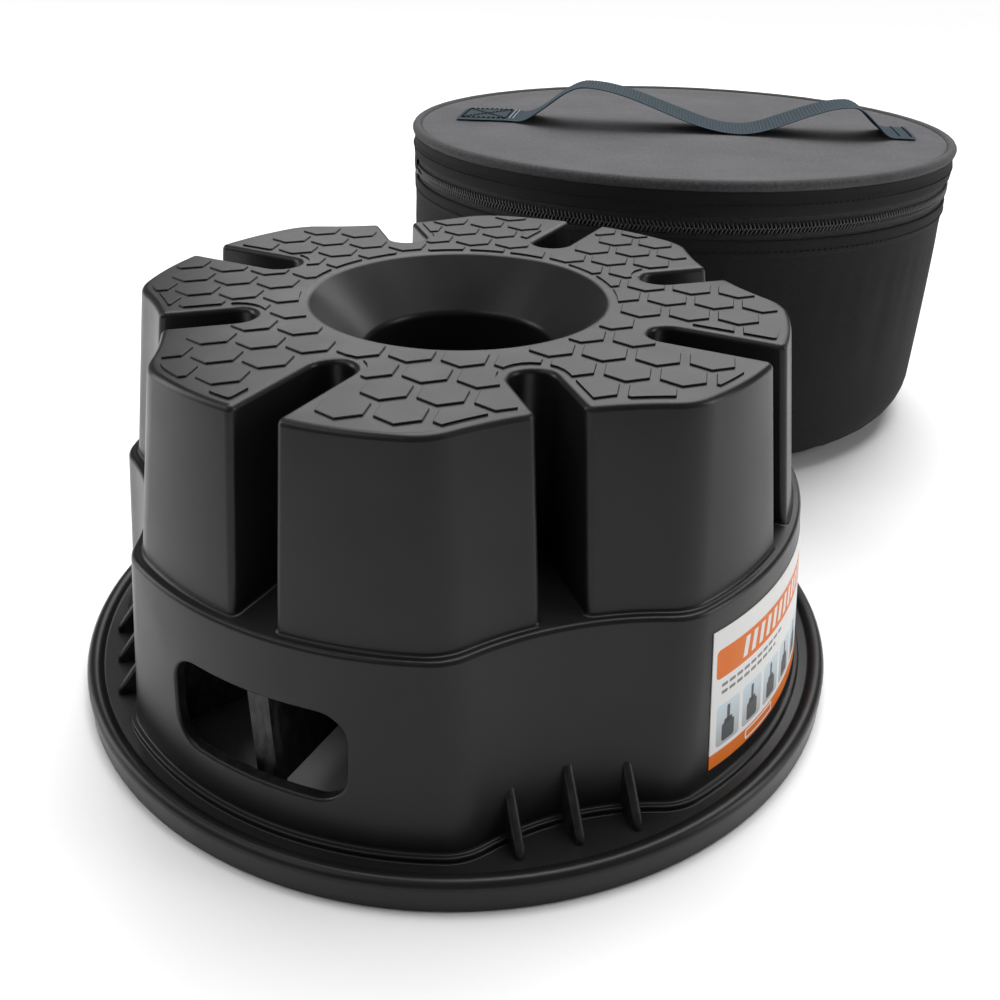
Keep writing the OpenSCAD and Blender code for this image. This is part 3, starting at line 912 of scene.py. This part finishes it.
def block_gussets():
    """Three tapered fins that brace each hollowed side against the flange, with rounded front edges."""
    s = Skin()
    half, nose = GUSSET_T / 2, GUSSET_NOSE
    for side in range(4):
        for gap in (-GUSSET_GAP, 0, GUSSET_GAP):
            sections = []
            for r, z in GUSSET_FRONT:
                front = arc((0, 0), 1, -90, 90, 6) * (nose, half) + (r - nose, gap)
                back = [(GUSSET_BACK, gap + across) for across in (half + 0.5, -half - 0.5)]
                sections.append(s.loop(turned(np.vstack([front, back]), 45 + 90 * side), z))
            s.bar(sections)
    return s


def deck_region():
    """The part of the deck that pads may cover, as a solid that cuts them."""
    s = Skin()
    mouth = 5.0
    outline = whole(eighth(*upper(BLOCK_H), TOP_ROUND + PAD_MARGIN, (*SLOT[:2], mouth)))
    heights = (BLOCK_H - 2, BLOCK_H + 2)
    outer = [s.loop(outline, z) for z in heights]
    inner = [s.loop(circle(DISH_R + PAD_DISH_MARGIN), z) for z in heights]
    s.strips(outer)
    s.strips(inner)
    for rims in zip(outer, inner):
        s.fill(*rims)
    return s


def block_pads():
    """Raised hexagonal anti-slip pads over the whole deck, before they are cut back from its edges."""
    s = Skin()
    corner = (PAD_PITCH - PAD_GAP) / math.sqrt(3)
    levels = [(corner, -PAD_SUNK), (corner, PAD_H - PAD_ROUND), (corner - PAD_ROUND - 0.05, PAD_H)]
    net = range(-9, 10)
    for i in net:
        for j in net:
            centre = PAD_CENTRE + polar(PAD_PITCH * i, PAD_TURN) + polar(PAD_PITCH * j, PAD_TURN + 60)
            if DISH_R - PAD_PITCH / 2 < np.linalg.norm(centre) < UPPER_TOP[1] + PAD_PITCH / 2:
                hexagons = [arc(centre, r, PAD_TURN + 30, PAD_TURN + 390, 6)[:-1] for r, z in levels]
                s.bar([s.loop(points, BLOCK_H + z) for points, (r, z) in zip(hexagons, levels)])
    return s


def cut_to(obj, cutter):
    """Keeps only what of obj lies in cutter, which is then removed."""
    cut = obj.modifiers.new("cut", "BOOLEAN")
    cut.operation = "INTERSECT"
    cut.solver = "EXACT"
    cut.object = cutter
    bpy.context.view_layer.update()
    evaluated = obj.evaluated_get(bpy.context.evaluated_depsgraph_get())
    mesh = bpy.data.meshes.new_from_object(evaluated)
    obj.modifiers.remove(cut)
    old = obj.data
    obj.data = mesh
    bpy.data.meshes.remove(old)
    bpy.data.objects.remove(cutter)


def drop_offcuts(obj, least):
    """Removes separate parts whose top is smaller than least square millimetres."""
    bm = bmesh.new()
    bm.from_mesh(obj.data)
    left = set(bm.verts)
    doomed = []
    while left:
        found, front = set(), [left.pop()]
        while front:
            v = front.pop()
            found.add(v)
            for e in v.link_edges:
                w = e.other_vert(v)
                if w in left:
                    left.remove(w)
                    front.append(w)
        faces = {face for v in found for face in v.link_faces}
        top = sum(face.calc_area() for face in faces if face.normal.z > 0.9) / MM**2
        if top < least:
            doomed += found
    bmesh.ops.delete(bm, geom=doomed, context="VERTS")
    bm.to_mesh(obj.data)
    bm.free()


def make_block():
    def part(name, skin, material=PLASTIC, **looks):
        return piece(name, skin, "block", "block_plastic", material, ["block_body"], **looks)

    part("block_walls", block_walls(), sharp=38, weighted=True)
    part("block_ribs", block_ribs(), sharp=38, weighted=True)
    part("block_gussets", block_gussets(), sharp=50, weighted=True)
    pads = part("block_pads", block_pads(), PAD_PLASTIC)
    cut_to(pads, placed("pad_region", deck_region(), PLASTIC))
    drop_offcuts(pads, PAD_LEAST)
    pads.data.set_sharp_from_angle(angle=math.radians(20))


def make_label():
    """The film on the wall's +X side."""
    angles = np.linspace(-LABEL_HALF, LABEL_HALF, 49)

    def grid(out):
        heights = np.linspace(LABEL_LO.z, LABEL_HI.z, 12)
        return [[(*polar(lower(z)[0] + out, a), z) for a in angles] for z in heights]

    s = Skin()
    s.shell(grid(LABEL_T), grid(0.06), closed=False)
    piece("label", s, "block", "label_film", LABEL, ["block_label"], sharp=38, weighted=True)


# ---------------------------------------------------------------- bag

ROUND = np.arange(AROUND) * 360 / AROUND


def standing(points):
    """Points of the bag's own frame, whose X runs along the handle, moved to where the bag stands."""
    points = np.asarray(points, float)
    flat = turned(points[..., :2], BAG_TURN) + (BAG_X, BAG_Y)
    return np.concatenate([flat, points[..., 2:]], axis=-1)


def revolved(profile, angles=ROUND):
    """A grid of points: a profile of (radius, height) turned about the bag's axis, in the bag's frame."""
    a = np.radians(angles)
    r, z = (np.asarray([p[k] for p in profile], float)[:, None] for k in (0, 1))
    return np.stack([r * np.cos(a), r * np.sin(a), z + 0 * a], axis=-1)


def hoop(skin, outer, inner, angles=ROUND):
    """A sheet with thickness between two profiles, turned about the bag's axis where the bag stands."""
    grids = [standing(revolved(profile, angles)) for profile in (outer, inner)]
    skin.shell(*grids, closed=angles is ROUND)
    return skin


def box_radius(node):
    low, high = box_mm(node)
    return (high.x - low.x) / 2


def eased(t):
    """0 up to t = 0 and 1 from t = 1, with a smooth step between."""
    t = np.clip(t, 0, 1)
    return t * t * (3 - 2 * t)


def settled(points, faces, held, swell, grow, cap):
    """How far each point of a piece of cloth moves as it comes to rest, in millimetres, never beyond cap.

    held is each point's hold from 0 to 1, swell the push of the foam behind it, and grow its spare length.
    """
    scene = bpy.context.scene
    mesh = bpy.data.meshes.new("cloth")
    mesh.from_pydata([Vector(p) * MM for p in points], [], faces)
    cloth = linked("cloth", mesh)
    group = cloth.vertex_groups.new(name="held")
    for i, share in enumerate(held):
        group.add([i], float(share), "REPLACE")
    modifier = cloth.modifiers.new("cloth", "CLOTH")
    settings = modifier.settings
    values = dict(quality=8, mass=0.2, tension_stiffness=30, compression_stiffness=30, shear_stiffness=12,
                  bending_stiffness=1.5, vertex_group_mass="held", shrink_min=-grow, shrink_max=-grow,
                  use_pressure=True, uniform_pressure_force=swell)
    for setting, value in values.items():
        setattr(settings, setting, value)
    settings.effector_weights.gravity = 0.25
    modifier.point_cache.frame_end = SETTLE_FRAMES
    for step in range(1, SETTLE_FRAMES + 1):
        scene.frame_set(step)
    shape = cloth.evaluated_get(bpy.context.evaluated_depsgraph_get()).data
    rest = np.array([v.co for v in shape.vertices]) / MM
    bpy.data.objects.remove(cloth)
    bpy.data.meshes.remove(mesh)
    scene.frame_set(1)
    shift = rest - points
    far = np.linalg.norm(shift, axis=1)[:, None]
    return shift / (1 + far / cap)


def grid_faces(rows, columns, closed=True):
    """Faces between the points of a grid, given row by row."""
    faces = []
    for i in range(rows - 1):
        for j in range(columns if closed else columns - 1):
            k = (j + 1) % columns
            faces.append((i * columns + j, i * columns + k, (i + 1) * columns + k, (i + 1) * columns + j))
    return faces


def wall_path(inset, top, hem=0.0):
    """A layer of the bag's wall: round the bottom corner from the base's seam, then up to a hem."""
    seat = arc((BAG_R - BAG_CORNER, BAG_CORNER), BAG_CORNER - inset, -90, 0, 9)
    rise = line(seat[-1], (BAG_R - inset, top - 9), 18)
    turn_in = [(-8.2, 0.0), (-7.7, 0.6), (-7.0, 0.95), (-4.0, 1.0), (-1.2, 1.0), (-0.4, 0.7), (0.0, 0.0)]
    return joined([seat, rise, [rise[-1]] + [(BAG_R - inset + hem * out, top + z) for z, out in turn_in]])


def settle_wall():
    """The wall's cloth at rest: held at its base seam and where the zip is sewn in."""
    points = revolved(wall_path(0, SIDE_H))
    rows = len(points)
    z = points[:, 0, 2]
    held = np.repeat(np.clip(np.maximum(eased((z - 96) / 22), eased((9 - z) / 9)), 0, 1), AROUND)
    shift = settled(points.reshape(-1, 3), grid_faces(rows, AROUND), held, swell=0.35, grow=0.012, cap=2.4)
    return shift.reshape(rows, AROUND, 3) * (1 - held.reshape(rows, AROUND, 1) ** 4)


def settle_lid():
    """How far the lid's cloth rises over a square net of points, as it comes to rest over its foam."""
    axis = np.linspace(-LID_R, LID_R, LID_NET)
    x, y = np.meshgrid(axis, axis, indexing="ij")
    r = np.hypot(x, y)
    points = np.stack([x, y, 0 * x], axis=-1).reshape(-1, 3)
    held = eased((r / LID_R - 0.9) / 0.08)
    for start, end in ((STRAP_ENDS[0], STRAP_SEWN[0]), (STRAP_SEWN[1], STRAP_ENDS[1])):
        held = np.maximum(held, 0.9 * (x > start - 2) * (x < end + 2) * (abs(y) < STRAP_W / 2 + 1))
    faces = [face[::-1] for face in grid_faces(LID_NET, LID_NET, closed=False)]
    shift = settled(points, faces, held.ravel(), swell=1.1, grow=0.008, cap=3.0)
    crown = CROWN * (1 - (r / LID_R) ** 2) * (r < LID_R)
    return shift[:, 2].reshape(LID_NET, LID_NET) + crown


def lid_rise(x, y):
    """How far the lid's cloth stands above its seam at a place in the bag's frame."""
    half, last = (LID_NET - 1) / 2, LID_NET - 1.001
    place = [np.clip((np.asarray(v, float) / LID_R + 1) * half, 0, last) for v in (x, y)]
    (i, j) = (np.floor(v).astype(int) for v in place)
    fx, fy = place[0] - i, place[1] - j
    net = LID_REST
    return ((1 - fx) * (1 - fy) * net[i, j] + fx * (1 - fy) * net[i + 1, j]
            + (1 - fx) * fy * net[i, j + 1] + fx * fy * net[i + 1, j + 1])


def pucker(angle, seed):
    """Small gathers round a seam, from -1 to 1."""
    a = np.radians(angle)
    return (np.sin(37 * a + seed) + np.sin(53 * a + 2.1 * seed) + np.sin(83 * a + 0.7 * seed)) / 3


def wall_layer(node, name, inset, thick, slot, material, hem=0.0):
    s = Skin()
    top = box_mm(node)[1].z
    outer = revolved(wall_path(inset, top, hem)) + WALL_REST
    inner = revolved(wall_path(inset + thick, top)) + WALL_REST
    s.shell(standing(outer), standing(inner))
    return piece(name, s, "bag_shell", slot, material, [node], sharp=50)


def flat_layer(node, body, slot, material, rise=None, gather=0.0):
    """A disc of cloth or foam in a node's place; rise is added to its height, and gather puckers its edge."""
    low, high = levels(node)
    radius = box_radius(node)
    near_rim = (radius * 0.93, radius * 0.955, radius * 0.975, radius - 1.6, radius - 0.5)
    radii = np.concatenate([np.linspace(0, radius * 0.9, 22), near_rim])
    seam = eased((radii / radius - 0.9) / 0.06) * eased((radius - 0.4 - radii) / 2)

    def sheet(z):
        grid = revolved([(r, z) for r in radii])
        if rise:
            grid[..., 2] += rise(grid[..., 0], grid[..., 1])
        grid[..., 2] += gather * seam[:, None] * pucker(ROUND, 1.0)
        return standing(grid)

    heights = (low + (high - low) * share for share in (0.75, 0.5, 0.25))
    rim = revolved(list(zip((radius - 0.1, radius, radius - 0.1), heights)))
    s = Skin()
    s.disc(sheet(high), sheet(low), standing(rim))
    return piece(node + "_disc", s, body, slot, material, [node])


def sampled(points, reach, at):
    """Places at given lengths along a run of points."""
    return np.stack([np.interp(at, reach, points[:, k]) for k in range(3)], axis=-1)


def stitches(skin, path, normals, length=2.5, gap=0.9, radius=THREAD_R):
    """Stitches along a run of points in the bag's frame: each rises out of the cloth and dips back in."""
    path, normals = standing(path), standing(normals) - standing(np.zeros(3))
    reach = np.concatenate([[0], np.cumsum(np.linalg.norm(np.diff(path, axis=0), axis=1))])
    count = max(1, round(reach[-1] / (length + gap)))
    pitch = reach[-1] / count
    for n in range(count):
        at = (n + 0.5) * pitch + (pitch - gap) * STITCH_AT
        middle, up = (sampled(v, reach, at) for v in (path, normals))
        skin.tube(middle + up * radius * STITCH_RISE[:, None], radius * STITCH_SIZE, 5)


def ring_of_stitches(name, body, radius, z, angles, skin=None):
    """A row of stitches round the bag, with whatever stitches skin already holds."""
    s = skin or Skin()
    stitches(s, revolved([(radius, z)], angles)[0], revolved([(1, 0)], angles)[0])
    piece(name, s, body, "thread", DARK_THREAD)


def make_bag_wall():
    wall_layer("bag_side_outer", "bag_side_outer_cloth", 0, FABRIC_T, "bag_fabric", SIDE_CANVAS_PAINTED_SHADE, hem=0.45)
    foam = wall_layer("bag_side_foam", "bag_side_padding", FOAM_IN, FOAM_T, "bag_foam", FOAM)
    wall_layer("bag_side_lining", "bag_side_lining_cloth", LINING_IN, LINING_T, "bag_lining", LINING)

    rows = slice(2, -6)
    path = wall_path(0, SIDE_H)[rows]
    out = (path - (BAG_R - BAG_CORNER, BAG_CORNER)) / BAG_CORNER
    out[path[:, 1] > BAG_CORNER] = (1, 0)
    a = np.radians(180 + np.degrees(np.linspace(-5, 5, 7) / BAG_R))
    lift = np.array((0.1, 0.42, 0.5, 0.4, 0.5, 0.42, 0.1))
    layers = []
    for height in (lift, 0 * lift - 0.2):
        r, z = (path[:, k, None] + out[:, k, None] * height for k in (0, 1))
        layer = np.stack([r * np.cos(a), r * np.sin(a), z + 0 * a], axis=-1)
        layers.append(layer + WALL_REST[rows, AROUND // 2][:, None])
    seam = Skin()
    seam.shell(standing(layers[0]), standing(layers[1]), closed=False)
    piece("bag_side_seam", seam, "bag_shell", "bag_fabric", SIDE_CANVAS_PAINTED_SHADE, sharp=38)

    thread = Skin()
    normals = np.stack([-out[:, 0], 0 * out[:, 0], out[:, 1]], axis=-1)
    for column in (1, 5):
        stitches(thread, layers[0][:, column], normals)
    hem = np.linspace(-ZIP_HALF, ZIP_HALF, 400)
    ring_of_stitches("bag_side_stitches", "bag_shell", BAG_R + 0.45, SIDE_H - 5.5, hem, thread)


def ripple(x, y):
    """The slight unevenness of cloth glued to a board."""
    return 0.12 * np.sin(x / 17) * np.sin(y / 23 + 1)


def make_bag_base():
    flat_layer("bag_base_outer", "bag_shell", "bag_fabric", SIDE_CANVAS_PAINTED_SHADE)
    flat_layer("bag_base_board", "bag_shell", "bag_board", BOARD)
    flat_layer("bag_base_lining", "bag_shell", "bag_lining", LINING, ripple)


def make_lid():
    flat_layer("lid_top_outer", "bag_lid", "bag_fabric", TOP_CANVAS_PAINTED_LIGHT, lid_rise, gather=0.22)
    flat_layer("lid_foam", "bag_lid", "bag_foam", FOAM, lid_rise)
    flat_layer("lid_lining", "bag_lid", "bag_lining", LINING, lid_rise, gather=0.1)

    top = box_mm("lid_band")[1].z
    hem = [(0.0, 0.0), (0.35, 0.4), (0.45, 1.5), (0.5, 5.0), (0.45, 6.6), (0.1, 7.4), (0.0, 8.2), (0.0, 9.8)]
    hem.append((-0.15, top - LID_Z))
    outer = revolved([(BAG_R + out, LID_Z + up) for out, up in hem])
    inner = revolved([(BAG_R - FABRIC_T, LID_Z + up) for out, up in hem])
    soft = 1 + (0.22 * pucker(ROUND / 5, 0.4) + 0.05 * pucker(ROUND, 2.0))[:, None] / BAG_R
    for grid in (outer, inner):
        grid[..., :2] *= soft
    band = Skin()
    band.shell(standing(outer), standing(inner))
    piece("lid_band_cloth", band, "bag_lid", "bag_fabric", SIDE_CANVAS_PAINTED_SHADE, ["lid_band"])

    low, high = levels("lid_band_foam")
    outer_r = box_radius("lid_band_foam")
    inner_r = outer_r - BAND_FOAM_T
    padding = hoop(Skin(), [(outer_r, low), (outer_r, high)], [(inner_r, low), (inner_r, high)])
    made = piece("lid_band_padding", padding, "bag_lid", "bag_foam", FOAM, ["lid_band_foam"], sharp=38)

    lining_z = box_mm("lid_lining")[0].z - LAYER_GAP
    within = [(inner_r - 0.7, lining_z), (inner_r - 0.7, LID_Z + 0.9), (inner_r - 0.4, LID_Z + 0.25)]
    within += [(inner_r + 0.2, LID_Z), (outer_r - 0.1, LID_Z)]
    against = [(inner_r - 0.1, lining_z), (inner_r - 0.1, LID_Z + 1.0), (inner_r - 0.05, LID_Z + 0.5)]
    against += [(r, z + BINDING_T) for r, z in within[3:]]
    binding = hoop(Skin(), within, against)
    piece("lid_band_binding", binding, "bag_lid", "bag_lining", LINING, sharp=38)
    ring_of_stitches("lid_band_stitches", "bag_lid", BAG_R + 0.5, LID_Z + 5.2, np.linspace(0, 360, 500))


def make_piping():
    """The lid's corded edge, gathered a little round its cord."""
    s = Skin()
    for radius in (PIPING_R, PIPING_R - 1.15):
        rings = []
        for a in np.arange(0, 360, 0.75):
            size = radius * (1 + 0.018 * pucker(a, 3.0) + 0.01 * pucker(a * 3, 1.0))
            section = arc((PIPING_AT, PIPING_Z), size, 0, 360, 16)[:-1]
            rings.append(s.loop(standing([(*polar(r, a), z) for r, z in section])))
        s.strips(rings + rings[:1])
    piece("lid_piping_cloth", s, "bag_lid", "piping", PIPING, ["lid_piping"])


def make_hinge_panel():
    """The strip of cloth between the zip's ends, which joins wall and lid."""
    low, high = levels("hinge_panel")
    angles = np.linspace(ZIP_HALF + 0.3, 360 - ZIP_HALF - 0.3, 23)
    heights = np.linspace(low, high, 15)
    outer = BAG_R + 0.5 * np.sin(np.pi * (heights - low) / (high - low))
    s = hoop(Skin(), list(zip(outer, heights)), list(zip(outer - FABRIC_T, heights)), angles)
    panel = piece("hinge_panel_cloth", s, None, "bag_fabric", SIDE_CANVAS_PAINTED_SHADE, ["hinge_panel"])
    x, y, z = standing((-BAG_R, 0, 0)) * MM
    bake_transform(panel)


def make_zip():
    """Each half of the zip: its woven tape, and its coil, whose teeth part near the chain's start."""
    angles = np.linspace(-ZIP_HALF, ZIP_HALF, 161)
    teeth = int(math.radians(CHAIN_TO - CHAIN_FROM) * BAG_R / COIL_PITCH)
    root, tip = COIL_TOOTH[0][1], COIL_TOOTH[-1][1]
    for half, body, lift in (("lower", "bag_shell", -1), ("upper", "bag_lid", 1)):
        low, high = levels("zip_tape_" + half)
        heights = np.linspace(low, high, 5)
        faces = [[(BAG_R - depth, z) for z in heights] for depth in (TAPE_OUT, TAPE_IN)]
        tape = hoop(Skin(), *faces, angles)
        piece(f"zip_tape_{half}_weave", tape, body, "zip_tape", TAPE, ["zip_tape_" + half])

        coil = Skin()
        for n in range(teeth):
            middle = (n + 0.5 + 0.25 * lift) * COIL_PITCH
            parted = PARTED * (1 - eased((middle - 10) / 6))
            path = []
            for along, away, out in COIL_TOOTH:
                angle = CHAIN_FROM + math.degrees((middle + along) / BAG_R)
                away += parted * (root - away) / (root - tip)
                path.append((*polar(BAG_R - FABRIC_T + out, angle), ZIP_Z + lift * away))
            coil.tube(standing(path), COIL_SIZES, 6)
        piece(f"zip_coil_{half}", coil, body, "zip_chain", COIL, ["zip_chain_" + half], sharp=70)


def strap_lift(x):
    """How far the webbing stands off the lid: two humps, with a dip that touches down between them."""
    (left, left_h), (right, right_h) = STRAP_CRESTS

    def hump(start, crest, height):
        return height * eased((x - start) / (crest - start))

    first = np.minimum(hump(STRAP_SEWN[0], left, left_h), hump(STRAP_DIP, left, left_h))
    second = np.minimum(hump(STRAP_DIP, right, right_h), hump(STRAP_SEWN[1], right, right_h))
    return np.where(x < STRAP_DIP, first, second)


def strap_point(x, y, up):
    """A point of the webbing: x along the lid, y across, and up through its thickness from its underside."""
    slope = (strap_lift(x + 0.1) - strap_lift(x - 0.1)) / 0.2
    size = np.sqrt(1 + slope**2)
    loose = eased(strap_lift(x) / 6)
    share = y / (STRAP_W / 2)
    curl = loose * (0.5 * np.sin(x / 31 + 0.8) * share + 0.35 * share**2)
    z = LID_TOP + 0.17 + lid_rise(x, y) + strap_lift(x) + curl
    sway = 0.5 * loose * np.sin(x / 40)
    return np.stack([x - up * slope / size, y + sway, z + up / size], axis=-1)


def make_handle():
    """Ribbed webbing: its ribs run across, and its edges are rounded."""
    xs = np.linspace(*STRAP_ENDS, 2000)
    reach = np.concatenate([[0], np.cumsum(np.hypot(np.diff(xs), np.diff(strap_lift(xs))))])
    steps = np.arange(0, reach[-1], RIB_PITCH / 4)
    across = np.sin(np.radians(np.linspace(-90, 90, 15))) * STRAP_W / 2
    plump = (1 - np.abs(across / (STRAP_W / 2)) ** 8) ** 0.5
    s = Skin()
    rings = []
    for n, x in enumerate(np.interp(steps, reach, xs)):
        half = STRAP_T / 2 * (0.78 + 0.22 * math.cos(math.pi * n / 2)) * (0.25 + 0.75 * plump)
        top = strap_point(x, across, STRAP_T / 2 + half)
        bottom = strap_point(x, across[1:-1], STRAP_T / 2 - half[1:-1])
        rings.append(s.loop(standing(np.vstack([top, bottom[::-1]]))))
    s.bar(rings)
    piece("handle_webbing_strap", s, "bag_lid", "webbing", WEBBING, ["handle_webbing"])

    def run(skin, start, end):
        """Stitches in a straight row from one (x, y) to another."""
        t = np.linspace(0, 1, 60)
        x, y = (start[k] + t * (end[k] - start[k]) for k in (0, 1))
        path = strap_point(x, y, STRAP_T + 0.05)
        stitches(skin, path, np.tile((0.0, 0.0, 1.0), (len(t), 1)), length=2.2, gap=0.7, radius=0.34)

    light, dark = Skin(), Skin()
    side = STRAP_W / 2 - SEWN_IN
    for x in (STRAP_SEWN[0] - 1.2, STRAP_SEWN[0] - 3.4):
        run(light, (x, -side), (x, side))
    left, inner = STRAP_ENDS[0] + 2.5, STRAP_SEWN[0] - 5.5
    a, b, c, d = (left, -side), (inner, -side), (inner, side), (left, side)
    for start, end in ((a, b), (b, c), (c, d), (d, a), (a, c), (b, d)):
        run(dark, start, end)
    for x in (STRAP_SEWN[1] + 2.2, STRAP_ENDS[1] - 2.2):
        run(dark, (x, -side), (x, side))
    for name, thread, material in (("light", light, LIGHT_THREAD), ("dark", dark, DARK_THREAD)):
        piece("handle_thread_" + name, thread, "bag_lid", "thread", material, ["handle_thread"])


def make_patches():
    """Patches inside the lid, behind the two places where the webbing is sewn on."""
    low, high = levels("handle_patches")
    y = np.linspace(-STRAP_W / 2 - 4, STRAP_W / 2 + 4, 16)
    s = Skin()
    for start, end in ((STRAP_ENDS[0] - 4, STRAP_SEWN[0] + 4), (STRAP_SEWN[1] - 20, STRAP_ENDS[1] + 4)):
        net = np.meshgrid(np.linspace(start, end, 14), y, indexing="ij")
        faces = [standing(np.stack([*net, z + lid_rise(*net)], axis=-1)) for z in (low, high)]
        s.shell(*faces, closed=False)
    piece("handle_patch_cloth", s, "bag_lid", "bag_lining", LINING, ["handle_patches"], sharp=38)


def finish_kept_nodes():
    """The CAD's own zip slider, pull, end stops and piping cord, with their finish, and softer edges on the
    metal ones.
    """
    finishes = {"zip_slider": ZINC, "zip_pull": ZINC, "zip_end_stops": ZINC, "lid_piping_cord": CORD}
    for node, material in finishes.items():
        kept = frame["nodes"][node]
        for slot in kept.material_slots:
            slot.material = material
        if material is ZINC:
            edge = kept.modifiers.new("edge", "BEVEL")
            edge.width = 0.22 * MM
            edge.segments = 3
            edge.limit_method = "ANGLE"
            edge.angle_limit = math.radians(35)


# ---------------------------------------------------------------- stage


def shine(data, place, ahead):
    """Puts a light in the scene, shining along a direction."""
    lamp = linked(data.name, data)
    lamp.location = place
    lamp.rotation_mode = "QUATERNION"
    lamp.rotation_quaternion = Vector(ahead).to_track_quat("-Z", "Y")


def make_stage():
    """A plain pale floor and soft light."""
    f = Finish("floor", Roughness=0.9, Specular_IOR_Level=0.1)
    paint = f.finish(f.mix(f.noise(900), (0.86, 0.86, 0.86), (0.88, 0.88, 0.88)))
    floor = Skin()
    floor.bm.faces.new(floor.loop(arc((0, 0), FLOOR_HALF * math.sqrt(2), -135, 225, 4)[:-1], 0))
    placed("floor", floor, paint)

    world = bpy.data.worlds.new("studio")
    bpy.context.scene.world = world
    world.use_nodes = True
    tree = world.node_tree
    background = tree.nodes["Background"]
    background.inputs["Color"].default_value = (1, 1, 1, 1)
    seen = tree.nodes.new("ShaderNodeLightPath").outputs["Is Camera Ray"]
    strength = tree.nodes.new("ShaderNodeMapRange")
    strength.inputs["To Min"].default_value = WORLD_LIGHT
    strength.inputs["To Max"].default_value = WORLD_SEEN
    tree.links.new(seen, strength.inputs["Value"])
    tree.links.new(strength.outputs[0], background.inputs["Strength"])

    sun = bpy.data.lights.new("above", "SUN")
    sun.energy = SUN_STRENGTH
    sun.angle = math.radians(SUN_WIDTH)
    shine(sun, (0, 0, 0), SUN_AHEAD)
    for name, place, target, size, power in SOFTBOXES:
        box = bpy.data.lights.new(name, "AREA")
        box.shape = "RECTANGLE"
        box.size, box.size_y = size
        box.energy = power
        shine(box, place, Vector(target) - Vector(place))
    bpy.context.scene.view_settings.view_transform = "Standard"


WALL_REST = settle_wall()
LID_REST = settle_lid()

make_camera()
make_block()
make_label()
make_bag_wall()
make_bag_base()
make_lid()
make_piping()
make_hinge_panel()
make_zip()
make_handle()
make_patches()
finish_kept_nodes()
make_stage()
